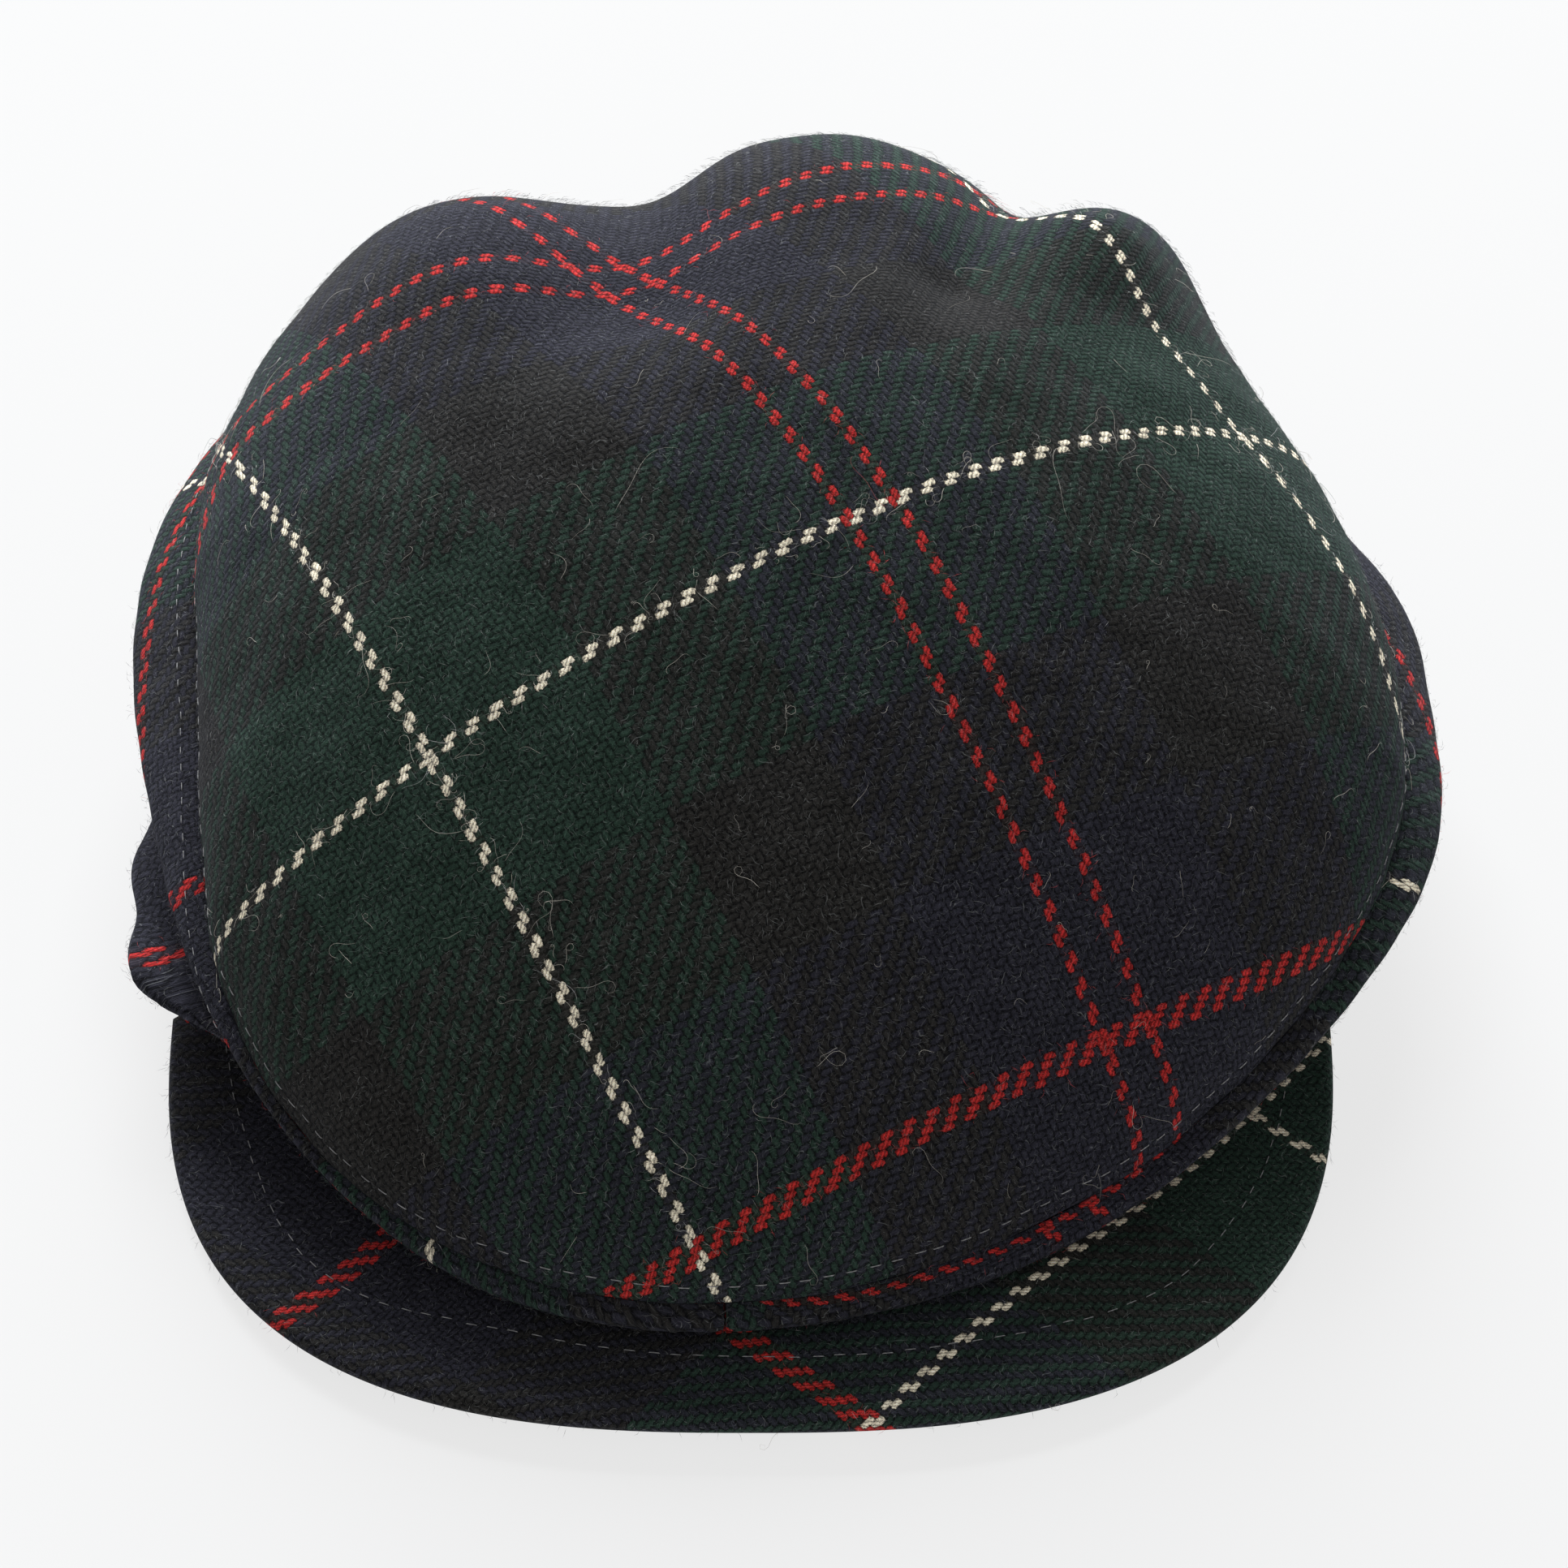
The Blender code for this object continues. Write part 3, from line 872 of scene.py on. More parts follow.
    def dome_normal(self, aside: Array, back: Array) -> Array:
        """Return the dome's outward direction, from its slopes a small step each way."""
        step = self.slope_share
        aside, back = aside * (1 - 2 * step), back * (1 - 2 * step)
        across = self.dome(aside + step, back) - self.dome(aside - step, back)
        along = self.dome(aside, back + step) - self.dome(aside, back - step)
        return unit(np.cross(across, along))

    def top_surface(self, aside: Array, back: Array) -> Array:
        """Return the outer face of the top panel: the dome with its folds."""
        lift = sum(self.fold_height * height * along_stroke(aside, back, ends, half_width)
                   for *ends, half_width, height in self.folds)
        return self.dome(aside, back) + lift[..., None] * self.dome_normal(aside, back)

    def seam_line(self, turn: Array) -> Array:
        """Return the seam between the top panel and the side panels."""
        return self.top_surface(np.sin(turn), -np.cos(turn))

    def wall_size(self, column: int, turn: Array) -> Array:
        """Return a column of the wall table at an angle, with its share of the lobes."""
        size = self.round_rim(self.wall, column, turn)
        for lobe in self.lobes:
            if column < len(lobe) - 1:
                off = (np.degrees(turn) - lobe[0] + 180) % 360 - 180
                size = size + lobe[column + 1] * np.exp(-(off / lobe[1]) ** 2)
        return size[..., None]

    def section_points(self, turn: Array) -> Array:
        """Return the points that a side panel's section passes, from the seam down to the hem."""
        step = self.slope_share
        run = self.seam_line(turn + step) - self.seam_line(turn - step)
        out = unit(np.stack([run[..., 1], -run[..., 0], np.zeros(np.shape(turn))], axis=-1))
        up = np.array([0.0, 0.0, 1.0])
        turn_under = self.cloth_thickness + 2 * self.piece_gap
        seam, low = self.seam_line(turn), self.hem(turn)
        lip_out, lip_down, swell_out, swell_rise, band_height = (
            size * self.wall_size(column, turn) for column, size in enumerate(
                (self.lip_out, self.lip_down, self.swell_out, self.swell_rise, self.band_height), start=1))
        lip = seam + lip_out * out - lip_down * up
        under = lip - turn_under * (out + up)
        swell = low + swell_out * out + swell_rise * up
        return np.stack([seam, lip, under, (under + swell) / 2, swell, low + band_height * up, low])

    def side_surface(self, turn: Array, share: Array) -> Array:
        """Return the side panels' outer face: a cubic through each section's points."""
        points = lengthened(self.section_points(turn))
        start = np.clip(np.floor(share), 0, len(points) - 4).astype(int)
        four = (np.take_along_axis(points, (start + i)[None, ..., None], axis=0)[0] for i in range(4))
        return cubic(*four, (share - start)[..., None])

    def peak_surface(self, side: Array, reach: Array) -> Array:
        """Return the peak's upper face: straight lines from the hem to a squarish oval edge, swelled."""
        root = self.hem(np.radians(self.peak_half_angle) * side)
        root = root - self.cloth_thickness * unit(root * [1, 1, 0])
        root[..., 2] -= self.piece_gap
        swing = np.pi / 2 * side
        power = 2 / self.peak_roundness
        tip = self.opening_length / 2 + self.peak_reach
        edge = np.stack([
            self.peak_width / 2 * np.sign(swing) * np.abs(np.sin(swing)) ** power,
            -self.peak_corner_lead - (tip - self.peak_corner_lead) * np.cos(swing) ** power,
            self.peak_thickness + self.peak_arch * np.cos(swing) ** 2,
        ], axis=-1)
        point = root + (edge - root) * reach[..., None]
        point[..., 2] += self.peak_swell * np.sin(np.pi * reach) ** 2 * np.cos(swing)
        return point

    def shift(self) -> Array:
        """Return how far the frame lies from these surfaces, from the peak's box."""
        low, high = (np.array(corner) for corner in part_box("peak"))
        tip = self.opening_length / 2 + self.peak_reach
        return np.array([(low[0] + high[0]) / 2, low[1] + tip, 0.0])


# ----- the pieces -----


@dataclass
class TopPanel:
    """The domed round panel with its folds, its fine creases and its line of stitches."""

    form: CapForm
    shop: Workshop
    cloth: TartanCloth = field(default_factory=TartanCloth)
    thread_pitch: float = 0.00110
    steps: int = 164
    layout_steps: int = 41
    front_step: int = 8
    # thread counts at the disc's middle, and the way that its front lies on the weave
    middle_thread: tuple[float, float] = (61.0, 137.9)
    front_way: float = 120.2
    # from aside, from back, to aside, to back, half width, then warp and weft threads pulled by
    pulls: tuple[Stroke, ...] = (
        (-0.25, 0.90, 0.35, 0.85, 0.50, 24, 0), (0.70, 0.42, 0.72, 0.42, 0.20, 5, 0),
        (-0.15, 0.60, 0.45, 0.70, 0.32, 0, -17), (-0.95, 0.42, -0.90, 0.42, 0.15, 0, 12),
    )
    groove_depth: float = 0.00012
    groove_width: float = 0.0009
    rim_radius: float = 0.105
    stitch_inset: float = 0.0033
    stitch_pitch: float = 0.0038
    stitch_sink: float = -0.00006
    loft: float = 0.0010
    loft_run: float = 0.006
    ripple: float = 0.00035
    # ripples by places aside and back, and a row of waves beside the seam
    waves: tuple[Stroke, ...] = ((1.0, 23, 9, 1.1, 8, -19, 0.4), (0.6, -17, 41, 2.0, 13, 29, 0.0))
    wave_share: float = 0.7
    seam_wave_share: float = 0.8
    seam_waves: int = 9
    wave_inset: float = 0.007
    wave_width: float = 0.006
    # from aside, from back, to aside, to back, half width, height in metres: fine creases
    creases: tuple[Stroke, ...] = (
        (-0.36, 0.52, -0.30, 0.80, 0.06, -0.0009), (-0.08, 0.62, -0.02, 0.86, 0.07, 0.0011),
        (0.24, 0.30, 0.30, 0.48, 0.06, -0.0008), (0.60, 0.30, 0.72, 0.42, 0.05, 0.0007),
        (-0.74, 0.30, -0.66, 0.52, 0.07, 0.0008), (0.05, 0.40, 0.16, 0.52, 0.08, -0.0008),
    )

    def disc(self, lines: Array) -> tuple[Array, Array]:
        """Map a square grid onto the disc: u times the root of 1 less half v squared."""
        u, v = np.meshgrid(lines, lines, indexing="ij")
        return u * np.sqrt(1 - v ** 2 / 2), v * np.sqrt(1 - u ** 2 / 2)

    def lines(self, steps: int) -> Array:
        """Return the grid's lines: the sine of even steps, so that they crowd together at the rim."""
        return np.sin(np.linspace(-np.pi / 2, np.pi / 2, steps + 1))

    def skin(self, aside: Array, back: Array) -> Array:
        """Return the outer face with its loft off the seam, stitched groove, creases and ripples."""
        base = self.form.top_surface(aside, back)
        turn = np.arctan2(aside, -back)
        away = np.linalg.norm(base - self.form.seam_line(turn), axis=-1)
        pucker = 0.7 + 0.3 * np.cos(round(2 * math.pi * self.rim_radius / self.stitch_pitch) * turn)
        lift = -self.groove_depth * pucker * np.exp(-((away - self.stitch_inset) / self.groove_width) ** 2)
        lift += self.loft * (1 - np.exp(-(away / self.loft_run) ** 2))
        lift = lift + sum(height * along_stroke(aside, back, ends, width)
                          for *ends, width, height in self.creases)
        wave = ripples(self.waves, aside, back)
        seam_wave = np.sin(self.seam_waves * turn + 0.7)
        seam_wave = seam_wave * np.exp(-((away - self.wave_inset) / self.wave_width) ** 2)
        lift = lift + self.ripple * (self.wave_share * wave + self.seam_wave_share * seam_wave)
        return base + lift[..., None] * self.form.dome_normal(aside, back)

    def weave(self) -> Array:
        """Return thread counts on the fine grid, from a coarse one laid flat, face down."""
        points = self.form.top_surface(*self.disc(self.lines(self.layout_steps - 1)))
        flat = lay_flat(points, points[..., :2] * [1, -1])
        middle = self.layout_steps // 2
        flat = flat - flat[middle, middle]
        front = flat[middle, self.front_step]
        turn = math.radians(self.front_way) - math.atan2(front[1], front[0])
        counts = turned(flat, turn) / self.thread_pitch + self.middle_thread
        places = np.linspace(0, self.layout_steps - 1, self.steps + 1)
        fine = finer(counts, places, places)
        aside, back = self.disc(self.lines(self.steps))
        for *ends, width, warp, weft in self.pulls:
            fine = fine + along_stroke(aside, back, ends, width)[..., None] * [warp, weft]
        return fine

    def build(self) -> Ground:
        """Make the panel.

        Returns:
            The panel's outer face, for the nap.
        """
        aside, back = self.disc(self.lines(self.steps))
        points = self.skin(aside, back) + self.form.shift()
        weave = self.weave()
        size = self.steps + 1
        panel = self.shop.piece("top_cloth", points, grid_quads(size, size)[:, ::-1],
                                self.cloth.material("top_cloth"), "top_panel", weave)
        self.shop.thicken(panel, self.form.cloth_thickness)
        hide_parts("top_panel")
        return Ground(points, self.form.dome_normal(aside, back), weave)

    def sew(self, finish: StitchFinish) -> None:
        """Make the line of stitches: each one dips into the cloth at its ends."""
        line, normal = beside_seam(
            lambda turn, share: self.skin(np.sin(turn) * share, -np.cos(turn) * share),
            np.linspace(0, 2 * np.pi, 2400), np.linspace(1.0, 0.90, 60), self.stitch_inset)
        sew_line(self.shop, "top_stitches", line + self.form.shift(), normal, self.stitch_pitch,
                 self.stitch_sink, finish, "top_panel")


def beside_seam(surface: Callable[[Array, Array], Array], turns: Array,
                shares: Array, inset: float) -> tuple[Array, Array]:
    """Return a line on a panel at a set distance from its seam, and the outward directions along it.

    Args:
        surface: gives the panel's points at angles and shares.
        turns: the angles that the line passes.
        shares: the shares to look through, from the seam on.
        inset: the distance from the seam.

    Returns:
        Points and outward directions.
    """
    turn, share = np.meshgrid(turns, shares, indexing="ij")
    spokes = surface(turn, share)
    lengths = np.cumsum(np.linalg.norm(np.diff(spokes, axis=1), axis=-1), axis=1)
    index = np.argmin(np.abs(lengths - inset), axis=1) + 1
    smooth = np.convolve(np.pad(shares[index], 9, mode="edge"), np.ones(19) / 19, "valid")
    line = surface(turns, smooth)
    out = grid_normals(spokes)[np.arange(len(turns)), index]
    away = np.sum(out * (line - [0.0, 0.0, 0.02]), axis=-1, keepdims=True)
    return line, out * np.sign(away)


def sew_line(shop: Workshop, name: str, line: Array, normal: Array, pitch: float, sink: float,
             finish: StitchFinish, slot: str, radius: float = 0.00009, reach: float = 0.27) -> None:
    """Sew a line of stitches along a path on the cloth.

    A stitch's height over the cloth is a flat-topped arch, the fourth root of 1 less its place to
    the sixth power, so it stands proud in its middle and dips in at both ends.

    Args:
        shop: the workshop.
        name: the piece's name.
        line: the path's points.
        normal: the cloth's outward directions along it.
        pitch: the length from one stitch to the next.
        sink: how deep the line lies in the cloth, below 0 where it stands off it.
        finish: the thread.
        slot: the record's material slot.
        radius: the thread's radius.
        reach: half the length of a stitch, as a share of the pitch.
    """
    steps, sides, jitter, sway = 9, 6, 0.08, 0.00012
    middle, rise, dip = 0.40, 2.2, 1.2
    travel = np.concatenate([[0], np.cumsum(np.linalg.norm(np.diff(line, axis=0), axis=1))])
    count = int(travel[-1] / pitch)
    rng = np.random.default_rng(11)
    starts = (np.arange(count) + jitter * rng.standard_normal(count)) * travel[-1] / count
    part = np.linspace(-1, 1, steps)
    spots = starts[:, None] + pitch * (middle + reach * part)
    path, out = (np.stack([np.interp(spots, travel, table[:, axis]) for axis in range(3)], axis=-1)
                 for table in (line, normal))
    out = unit(out)
    arch = (1 - part ** 6) ** 0.25 * rise * radius - dip * radius
    side = unit(np.cross(out, np.gradient(path, axis=1)))
    path = path + out * (arch[:, None] - sink) + side * (sway * rng.standard_normal((count, 1, 1)))
    radii = np.full((count, steps), radius)
    shop.tubes(name, path, out[:, steps // 2], radii, sides, finish.material(name), slot)


@dataclass
class SidePanel:
    """A side panel: from its seam over a rolled lip, under it, and down to the hem."""

    form: CapForm
    shop: Workshop
    name: str
    node: str
    first_angle: float
    # an angle and a share of the section where the thread counts are known, the counts there,
    # and how far the warp's way is turned from the panel's run there, in degrees
    anchor: tuple[float, float]
    anchor_thread: tuple[float, float]
    grain: float
    # an angle, a half width in degrees, warp and weft threads that the cloth is pulled by, and
    # the share of the section from which it is pulled, fully so one share on
    pulls: tuple[Stroke, ...]
    cloth: TartanCloth = field(default_factory=TartanCloth)
    thread_pitch: float = 0.00110
    columns: int = 340
    rows_per_span: tuple[int, ...] = (8, 8, 7, 8, 10, 5)
    loft: float = 0.0010
    ripple: float = 0.00012
    # ripples by angle and share; they fade in from the seam and out over the last shares
    waves: tuple[Stroke, ...] = (
        (1.0, 31, 3.1, 0.0, 17, -1.7, 0.8), (0.7, 67, -2.3, 1.9, 0, 1.3, math.pi / 2),
    )
    fade_run: float = 0.004
    fade_shares: float = 1.5
    # the share under the lip where the cloth has no loft, and how far from it the loft is full
    under_share: float = 2.2
    under_run: float = 0.6
    # how deep the panel's two ends sink, how near them, and how far out they stand
    end_sink: float = 0.0005
    end_run: float = 0.001
    end_radius: float = 0.09
    stitch_inset: float = 0.0036
    stitch_pitch: float = 0.0036
    stitch_sink: float = -0.00006
    layout_columns: int = 60
    layout_rounds: int = 80

    def shares(self) -> Array:
        """Return the section's shares, a row each."""
        spans = [span + np.arange(steps) / steps for span, steps in enumerate(self.rows_per_span)]
        return np.concatenate([*spans, [float(len(self.rows_per_span))]])

    def weave(self, turns: Array, shares: Array) -> Array:
        """Return thread counts: the strip laid flat, turned and set to its anchor, then pulled.

        Every other row of the fine grid is laid flat, on fewer columns.
        """
        wide = self.layout_columns
        turn, share = np.meshgrid(np.linspace(turns[0], turns[-1], wide + 1), shares[::2], indexing="ij")
        points = self.form.side_surface(turn, share)
        along = np.cumsum(np.linalg.norm(np.diff(points[:, 6], axis=0, prepend=points[:1, 6]), axis=-1))
        down = np.cumsum(np.linalg.norm(np.diff(points, axis=1, prepend=points[:, :1]), axis=-1), axis=1)
        start = np.stack([np.broadcast_to(along[:, None], down.shape), -down], axis=-1)
        flat = lay_flat(points, start, self.layout_rounds)

        rows = np.arange(len(shares)) / 2

        def places(angles: Array) -> Array:
            """Return which of the layout's columns lie at angles in radians."""
            return (angles - turns[0]) / (turns[-1] - turns[0]) * wide

        def spot(angle: float) -> Array:
            """Return the flat place at an angle and the anchor's share."""
            row = between(flat, places(np.array([math.radians(angle)])))[0]
            return between(row, np.interp([self.anchor[1]], shares, rows))[0]

        run = spot(self.anchor[0] + 1) - spot(self.anchor[0] - 1)
        angle = -math.atan2(run[1], run[0]) - math.radians(self.grain)
        counts = turned(flat - spot(self.anchor[0]), angle) / self.thread_pitch + self.anchor_thread
        fine = finer(counts, places(turns), rows)
        for middle, width, warp, weft, start in self.pulls:
            bell = np.exp(-((np.degrees(turns) - middle) / width) ** 2)
            step = np.clip(shares - start, 0, 1)
            fine = fine + (bell[:, None] * step ** 2 * (3 - 2 * step))[..., None] * [warp, weft]
        return fine

    def skin(self, turn: Array, share: Array) -> Array:
        """Return the outer face: the smooth one with its loft off the seam and under, and ripples."""
        face, step = self.form.side_surface, self.form.slope_share
        base = face(turn, share)
        normal = unit(np.cross(face(turn, share + step) - face(turn, share - step),
                               face(turn + step, share) - face(turn - step, share)))
        down = np.linalg.norm(base - self.form.seam_line(turn), axis=-1)
        first = math.radians(self.first_angle)
        ends = np.minimum(turn - first, first + math.pi - turn) * self.end_radius
        left = (len(self.rows_per_span) - share) / self.fade_shares
        fade = np.clip(np.minimum(down / self.fade_run, left), 0, 1)
        loft = self.loft * (1 - np.exp(-((share - self.under_share) / self.under_run) ** 2))
        lift = fade * (self.ripple * ripples(self.waves, turn, share) + loft)
        lift = lift - self.end_sink * np.exp(-(ends / self.end_run) ** 2)
        return base + lift[..., None] * normal

    def build(self) -> Ground:
        """Make the panel and return its outer face, for the nap."""
        inset = self.form.piece_gap / self.form.opening_width
        first = math.radians(self.first_angle)
        turns = np.linspace(first + inset, first + math.pi - inset, self.columns)
        shares = self.shares()
        points = self.skin(*np.meshgrid(turns, shares, indexing="ij")) + self.form.shift()
        weave = self.weave(turns, shares)
        quads = grid_quads(len(turns), len(shares))
        panel = self.shop.piece(self.name, points, quads, self.cloth.material(self.name), self.node, weave)
        self.shop.thicken(panel, self.form.cloth_thickness)
        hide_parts(self.node)
        return Ground(points, -grid_normals(points), weave)

    def sew(self, finish: StitchFinish, name: str, first: float, last: float) -> None:
        """Make a line of short stitches just outside the seam, between two angles."""
        turns = np.radians(np.linspace(first, last, 900))
        line, normal = beside_seam(self.skin, turns, np.linspace(0, 1, 60), self.stitch_inset)
        sew_line(self.shop, name, line + self.form.shift(), normal, self.stitch_pitch,
                 self.stitch_sink, finish, self.node, radius=0.00007, reach=0.24)


@dataclass
class Peak:
    """The stiff peak: cloth drawn over a core, its edge rolled round and stitched."""

    form: CapForm
    shop: Workshop
    cloth: TartanCloth = field(default_factory=TartanCloth)
    thread_pitch: float = 0.00110
    columns: int = 200
    face_rows: int = 28
    edge_rows: int = 9
    end_round: float = 0.035
    # the ways across the two sets of lines, and each count where its way's distance is 0
    warp_way: tuple[float, float] = (-0.629, -0.777)
    weft_way: tuple[float, float] = (0.743, -0.669)
    start_thread: tuple[float, float] = (-177.0, 213.5)
    # x and y of a place, half width, then warp and weft threads that the cloth is pulled by there
    pulls: tuple[Stroke, ...] = ((-0.062, -0.110, 0.040, 0, -8.0), (0.072, -0.094, 0.030, 0, -2.5))
    # where the stitches run, as shares of the reach at even steps from the left end to the right
    stitch_reaches: tuple[float, ...] = (
        0.63, 0.66, 0.69, 0.75, 0.785, 0.765, 0.735, 0.745, 0.760, 0.760, 0.760, 0.785, 0.80, 0.78, 0.76,
        0.74, 0.72,
    )
    stitch_pitch: float = 0.0037
    stitch_sink: float = -0.00004
    stitch_span: float = 0.93

    def counts(self, x: Array, y: Array) -> Array:
        """Return thread counts at places on the peak: distances along two straight ways, and pulls."""
        warp = (x * self.warp_way[0] + y * self.warp_way[1]) / self.thread_pitch + self.start_thread[0]
        weft = (x * self.weft_way[0] + y * self.weft_way[1]) / self.thread_pitch + self.start_thread[1]
        counts = np.stack([warp, weft], axis=-1)
        for from_x, from_y, width, *threads in self.pulls:
            bell = np.exp(-(np.hypot(x - from_x, y - from_y) / width) ** 2)
            counts = counts + bell[..., None] * threads
        return counts

    def build(self) -> Ground:
        """Make the peak as one closed skin.

        A section runs out over the upper face, round the edge on a half circle, back under the
        lower face, and up its sewn edge. The thickness shrinks to nothing over the last of each
        side end, as the root of 1 less a square, so that the ends are round too.
        """
        side = np.sin(np.linspace(-np.pi / 2, np.pi / 2, self.columns))
        thick = self.form.peak_thickness * np.sqrt(
            1 - np.clip((np.abs(side) - 1 + self.end_round) / self.end_round, 0, 1) ** 2 * 0.98)
        root = self.form.peak_surface(side, np.zeros(self.columns))
        edge = self.form.peak_surface(side, np.ones(self.columns))
        span = np.linalg.norm(edge - root, axis=-1)
        last = 1 - thick / 2 / span
        reach = np.linspace(0, 1, self.face_rows)[:, None] ** 0.8 * last
        over = self.form.peak_surface(np.broadcast_to(side, reach.shape), reach)
        over[..., 2] -= (self.form.peak_thickness - thick) / 2
        out = unit(over[-1] - over[-2])
        up = np.array([0.0, 0.0, 1.0])
        angle = np.linspace(0, np.pi, self.edge_rows + 2)[1:-1, None, None]
        middle = over[-1] - thick[:, None] / 2 * up
        roll = middle + thick[:, None] / 2 * (np.cos(angle) * up + np.sin(angle) * out)
        below = over[::-1] - thick[:, None] * up
        points = np.concatenate([over, roll, below])
        travel = np.concatenate([reach * span, last * span + angle[..., 0] * thick / 2,
                                 (last + (last - reach[::-1])) * span + np.pi * thick / 2])
        flat = root + unit(edge - root) * travel[..., None]
        weave = self.counts(flat[..., 0], flat[..., 1])
        points = points + self.form.shift()
        faces = grid_quads(len(points), self.columns, closed=True)[:, ::-1]
        skin = self.shop.piece("peak_cloth", points, faces, self.cloth.material("peak_cloth"), "peak", weave)
        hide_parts("peak")
        rows = self.face_rows + self.edge_rows // 2
        return Ground(points[:rows], -grid_normals(points[:rows]), weave[:rows])

    def sew(self, finish: StitchFinish) -> None:
        """Make the peak's line of stitches, at its set shares of the reach from the hem."""
        side = np.linspace(-self.stitch_span, self.stitch_span, 900)
        reach = between(np.array(self.stitch_reaches), (side + 1) / 2 * (len(self.stitch_reaches) - 1))
        line = self.form.peak_surface(side, reach) + self.form.shift()
        normal = np.broadcast_to(np.array([0.0, 0.0, 1.0]), line.shape)
        sew_line(self.shop, "peak_stitches", line, normal, self.stitch_pitch, self.stitch_sink,
                 finish, "peak", radius=0.00008)


@dataclass
class Nap:
    """Loose wool fibres: short ones all over, and long curly ones mostly from the cream lines."""

    shop: Workshop
    sett: Sett = Sett()
    short_length: float = 0.0015
    short_radius: float = 0.000035
    curl_radius: float = 0.000032
    root_depth: float = 0.00012
    pale: Colour = (0.42, 0.43, 0.42)
    cream: Colour = (0.74, 0.69, 0.60)
    # a strand's sway as a share of its bend, where on a half wave its rise starts and how much of
    # the wave it follows, the wave's power, and how much thinner the strand's tip is
    sway: float = 0.25
    rise_span: tuple[float, float] = (0.08, 0.80)
    rise_power: float = 0.8
    taper: float = 0.6
    # short fibres: their points, least and most light, brightest colour, length's swing, bend and
    # rise as a share of the length, and how many are pale and how light those are
    short_steps: int = 3
    short_light: tuple[float, float] = (0.7, 3.0)
    short_brightest: float = 0.7
    short_swing: tuple[float, float] = (0.5, 1.6)
    short_bend: float = 1.1
    short_rise: tuple[float, float] = (0.04, 0.26)
    pale_share: float = 0.10
    pale_light: tuple[float, float] = (0.3, 0.9)
    # curls: their points, the chance of one away from cream and what cream adds to it, how many are
    # cream and how light those are, and the others' light and brightest colour
    curl_steps: int = 14
    curl_chance: tuple[float, float] = (0.10, 2.5)
    cream_share: float = 0.75
    cream_light: tuple[float, float] = (0.5, 1.1)
    dyed_light: float = 3.0
    dyed_brightest: float = 0.5
    # the gamma shape and scale of a curl's length and bend, its least length, and its rise
    curl_length: tuple[float, float] = (2.2, 0.0019)
    curl_bend: tuple[float, float] = (2.0, 1.9)
    curl_least: float = 0.0015
    curl_lift: float = 0.0003
    curl_rise: tuple[float, float] = (0.02, 0.16)

    def upper_dye(self, weave: Array) -> Array:
        """Return the dye of the thread that lies on top at thread counts."""
        i, j = np.floor(weave[:, 0]), np.floor(weave[:, 1])
        warp_up = np.mod(i + j, 4) < 2
        return np.where(warp_up[:, None], self.sett.dye_at(i), self.sett.dye_at(j))

    def strands(self, name: str, roots: tuple[Array, ...], length: Array, bend: Array,
                height: Array, radius: float, steps: int, dyes: Array, slot: str,
                rng: np.random.Generator) -> None:
        """Make strands that run along the cloth and rise from it.

        A strand's heading turns steadily along its length, its place is the sum of its steps,
        and its height over the cloth follows the sine of its place, raised to a low power.

        Args:
            name: the piece's name.
            roots: points, outward directions and thread counts.
            length: each strand's length.
            bend: how far each strand turns over its length, in radians.
            height: each strand's greatest height.
            radius: the strands' radius at the root.
            steps: points on a strand.
            dyes: each strand's colour.
            slot: the record's material slot.
            rng: the seeded source of chance.
        """
        point, normal, _ = roots
        count = len(point)
        helper = np.where(np.abs(normal[:, 2:]) < 0.9, [[0.0, 0.0, 1.0]], [[1.0, 0.0, 0.0]])
        one = unit(np.cross(normal, helper))
        two = np.cross(normal, one)
        part = np.linspace(0, 1, steps)
        heading = rng.random((count, 1)) * 2 * np.pi + bend[:, None] * (part + self.sway * np.sin(
            2 * np.pi * (part + rng.random((count, 1)))))
        stride = length[:, None] / (steps - 1)
        ahead = np.cumsum(np.cos(heading) * stride, axis=1)
        aside = np.cumsum(np.sin(heading) * stride, axis=1)
        first, span = self.rise_span
        rise = height[:, None] * np.sin(np.pi * (first + span * part)) ** self.rise_power - self.root_depth
        path = (point[:, None] + ahead[..., None] * one[:, None] + aside[..., None] * two[:, None]
                + rise[..., None] * normal[:, None])
        path[..., 2] = np.maximum(path[..., 2], 2 * radius)
        radii = radius * (1 - self.taper * part) * np.ones((count, 1))
        self.shop.tubes(name, path, normal, radii, 3, FibreFinish().material(name), slot, dyes)

    def short(self, name: str, ground: Ground, count: int, slot: str, seed: int) -> None:
        """Spread short fibres over a face."""
        rng = np.random.default_rng(seed)
        roots = ground.scatter(count, rng)
        light = rng.uniform(*self.short_light, (count, 1))
        dyes = np.clip(self.upper_dye(roots[2]) * light, 0, self.short_brightest)
        pale = rng.random((count, 1)) < self.pale_share
        dyes = np.where(pale, np.array(self.pale) * rng.uniform(*self.pale_light, (count, 1)), dyes)
        length = self.short_length * rng.uniform(*self.short_swing, count)
        bend = rng.normal(0, self.short_bend, count)
        height = length * rng.uniform(*self.short_rise, count)
        self.strands(name, roots, length, bend, height, self.short_radius, self.short_steps, dyes, slot, rng)

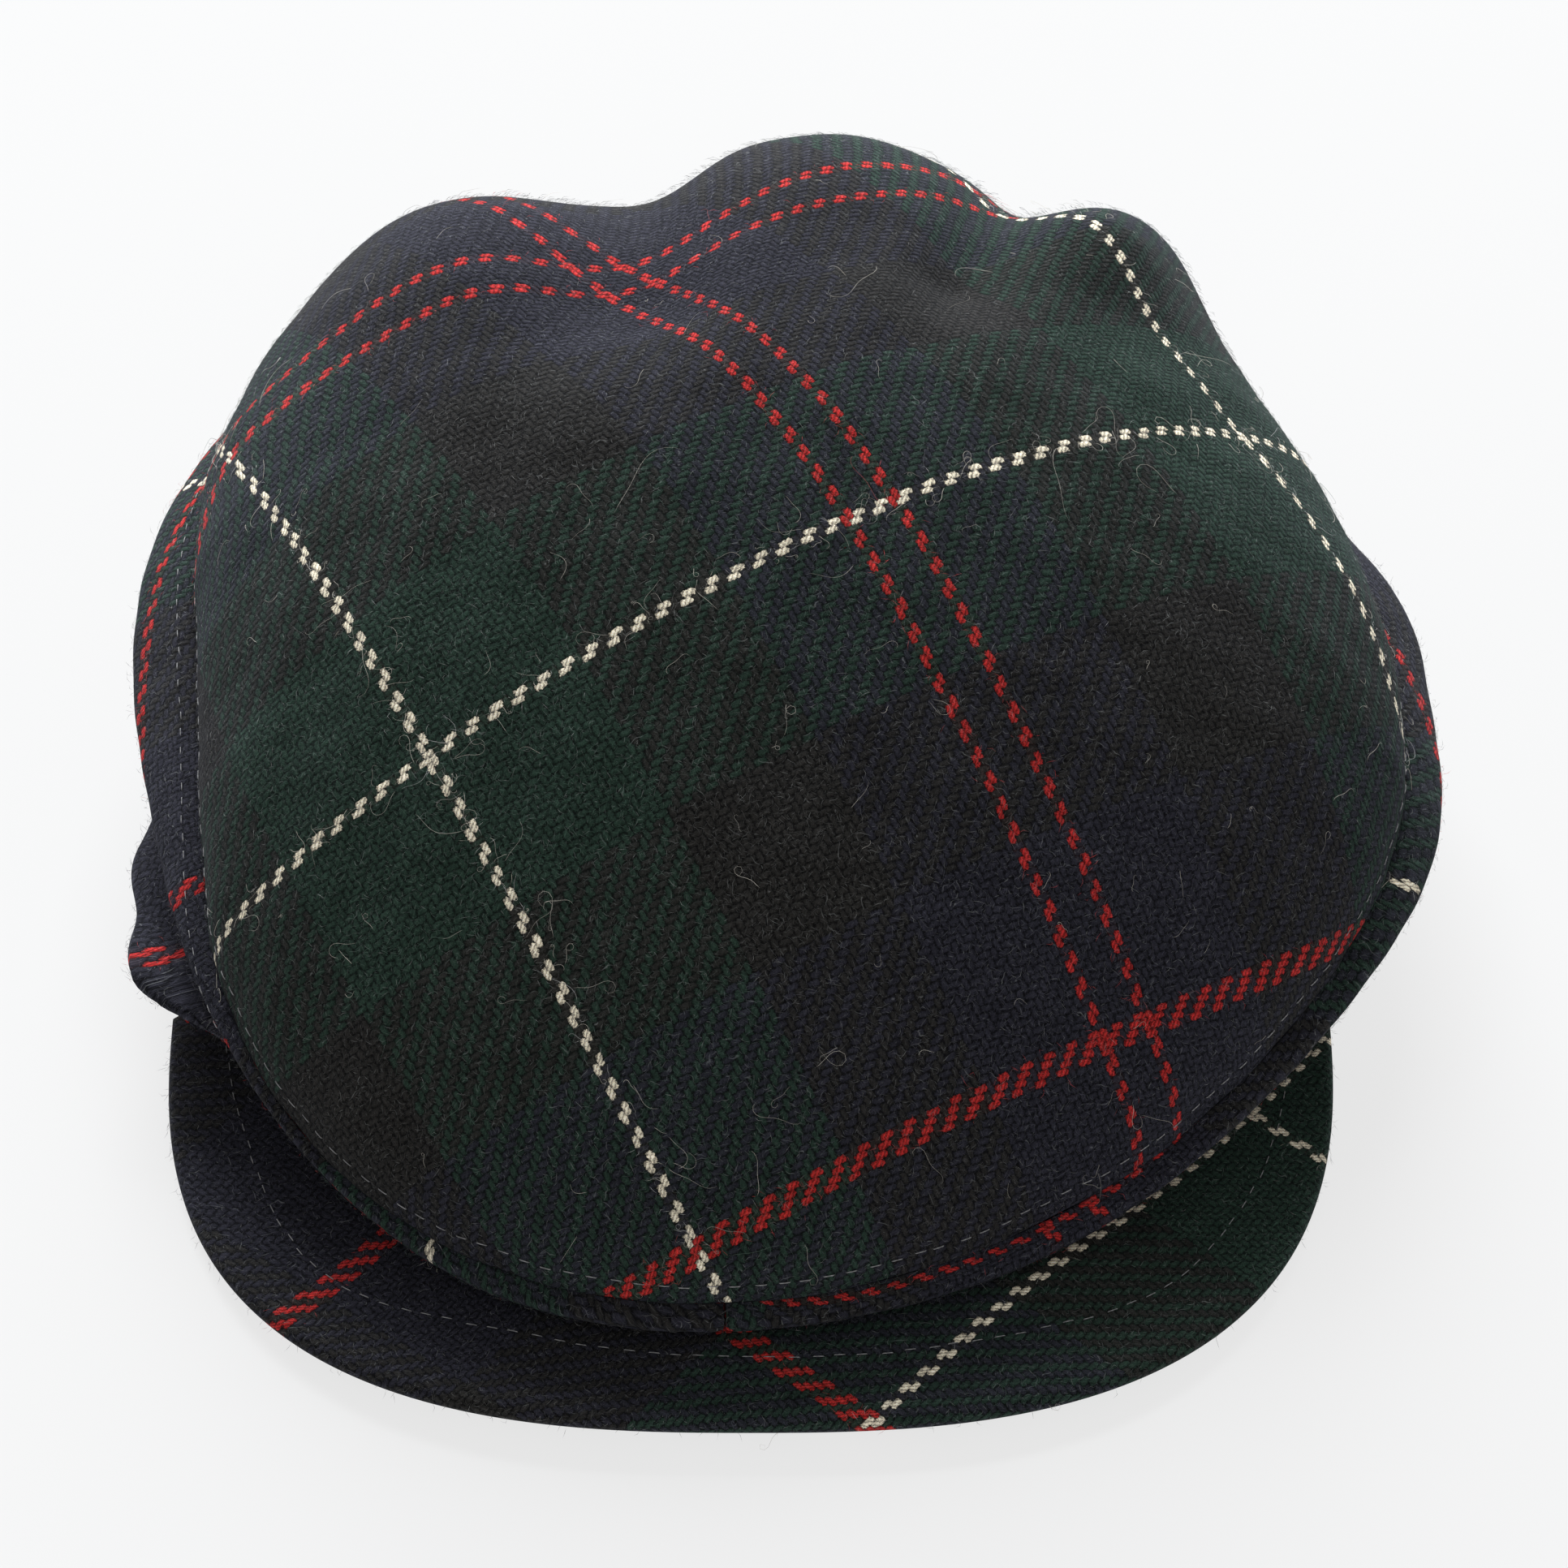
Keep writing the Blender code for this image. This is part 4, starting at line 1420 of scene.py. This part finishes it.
    def curls(self, name: str, ground: Ground, count: int, slot: str, seed: int) -> None:
        """Spread long curly fibres, most of them on the cream lines."""
        rng = np.random.default_rng(seed)
        cells = np.floor(ground.weave[:-1, :-1])
        near = np.zeros(cells.shape[:2])
        for off in (-1, 0, 1):
            for axis in (0, 1):
                near = np.maximum(near, self.sett.is_dye(cells[..., axis] + off, Dye.CREAM))
        roots = ground.scatter(count, rng, self.curl_chance[0] + self.curl_chance[1] * near)
        own = np.clip(self.upper_dye(roots[2]) * self.dyed_light, 0, self.dyed_brightest)
        tint = np.array(self.cream) * rng.uniform(*self.cream_light, (count, 1))
        dyes = np.where(rng.random((count, 1)) < self.cream_share, tint, own)
        length = rng.gamma(*self.curl_length, count) + self.curl_least
        bend = np.sign(rng.normal(0, 1, count)) * rng.gamma(*self.curl_bend, count)
        height = self.curl_lift + length * rng.uniform(*self.curl_rise, count)
        self.strands(name, roots, length, bend, height, self.curl_radius, self.curl_steps, dyes, slot, rng)


@dataclass
class Studio:
    """The floor, soft lights and camera."""

    target: tuple[float, float, float] = (0.0001, -0.0163, 0.040)
    distance: float = 1.087
    elevation: float = 45.0
    lens: float = 150.0
    floor_half: float = 4.0
    world_light: float = 0.315
    # name, spot, size, power, colour
    lamps: tuple[tuple[Any, ...], ...] = (
        ("back_light", (-0.40, 3.75, 2.10), 2.8, 500.0, (0.94, 0.97, 1.0)),
        ("front_light", (0.4, -2.6, 2.9), 2.6, 14.0, (1.0, 0.99, 0.97)),
    )

    def place(self, name: str, data: bpy.types.ID) -> bpy.types.Object:
        """Put a mesh, lamp or camera into the scene."""
        made = bpy.data.objects.new(name, data)
        bpy.context.scene.collection.objects.link(made)
        return made

    def floor(self) -> None:
        """Make the plain pale floor."""
        mesh = bpy.data.meshes.new("floor")
        half = self.floor_half
        square = [(-half, -half, 0), (half, -half, 0), (half, half, 0), (-half, half, 0)]
        mesh.from_pydata(square, [], [(0, 1, 2, 3)])
        mesh.materials.append(PlainFinish().material("floor"))
        self.place("floor", mesh)

    def lamp(self, name: str, spot: Sequence[float], size: float, power: float, colour: Colour) -> None:
        """Hang a soft square lamp that faces the cap."""
        data = bpy.data.lights.new(name, "AREA")
        data.size, data.energy, data.color = size, power, colour
        made = self.place(name, data)
        made.location = spot
        aim = np.array(self.target) - np.array(spot)
        tilt = math.atan2(math.hypot(aim[0], aim[1]), -aim[2])
        made.rotation_euler = (tilt, 0.0, math.atan2(-aim[0], aim[1]))

    def camera(self) -> None:
        """Set up the camera at the photograph's angle."""
        data = bpy.data.cameras.new("camera")
        data.lens, data.sensor_width = self.lens, 36.0
        data.clip_start, data.clip_end = 0.05, 20.0
        camera = self.place("camera", data)
        tilt = math.radians(self.elevation)
        camera.location = (self.target[0], self.target[1] - self.distance * math.cos(tilt),
                           self.target[2] + self.distance * math.sin(tilt))
        camera.rotation_euler = (math.pi / 2 - tilt, 0.0, 0.0)
        bpy.context.scene.camera = camera

    def build(self) -> None:
        """Set up everything that isn't the cap."""
        self.floor()
        for lamp in self.lamps:
            self.lamp(*lamp)
        world = bpy.data.worlds.new("studio")
        world.use_nodes = True
        background = world.node_tree.nodes["Background"].inputs
        background["Color"].default_value = (1.0, 1.0, 1.0, 1.0)
        background["Strength"].default_value = self.world_light
        bpy.context.scene.world = world
        bpy.context.scene.view_settings.view_transform = "Standard"
        self.camera()


def corners(box: Sequence[Sequence[float]]) -> list[list[float]]:
    """Return a box's corners as plain lists."""
    return [[float(number) for number in corner] for corner in box]


def main() -> None:
    """Dress the cap's frame and set up the studio."""
    logging.basicConfig(level=logging.INFO, format="%(message)s")
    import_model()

    form, shop = CapForm(), Workshop()
    thread = StitchFinish()
    top = TopPanel(form, shop)
    top_ground = top.build()
    top.sew(thread)
    right = SidePanel(
        form, shop, "side_cloth_right", "side_panel_right", first_angle=0.0,
        anchor=(22.0, 0.4), anchor_thread=(59.6, 78.0), grain=-1.0,
        pulls=((6, 9, 0, 3, -1), (22, 22, 0, -2.5, 0), (107, 22, 0, 15, -1), (84, 18, 0, 3, 0)))
    left = SidePanel(
        form, shop, "side_cloth_left", "side_panel_left", first_angle=180.0,
        anchor=(262.0, 0.83), anchor_thread=(189.0, 78.0), grain=-7.5,
        pulls=((352, 38, 19.8, 0, -1), (311, 11, 0, 7.5, -1), (335, 16, 0, 8.5, -1),
               (368, 22, 0, 36, -1), (292, 24, 0, -11.5, 1.3), (298, 14, -6, 0, 1.3)))
    right_ground, left_ground = right.build(), left.build()
    left.sew(thread, "side_stitches_left", 200.0, 303.0)
    peak = Peak(form, shop)
    peak_ground = peak.build()
    peak.sew(thread)

    nap = Nap(shop)
    for layer in range(2):
        nap.short(f"top_nap_{layer}", top_ground, 22000, "top_panel", 21 + layer)
    nap.short("side_nap_right", right_ground, 14000, "side_panel_right", 31)
    nap.short("side_nap_left", left_ground, 14000, "side_panel_left", 32)
    nap.short("peak_nap", peak_ground, 13000, "peak", 33)
    nap.curls("top_curls", top_ground, 520, "top_panel", 41)
    nap.curls("peak_curls", peak_ground, 90, "peak", 44)

    Studio().build()


if __name__ == "__main__":
    main()
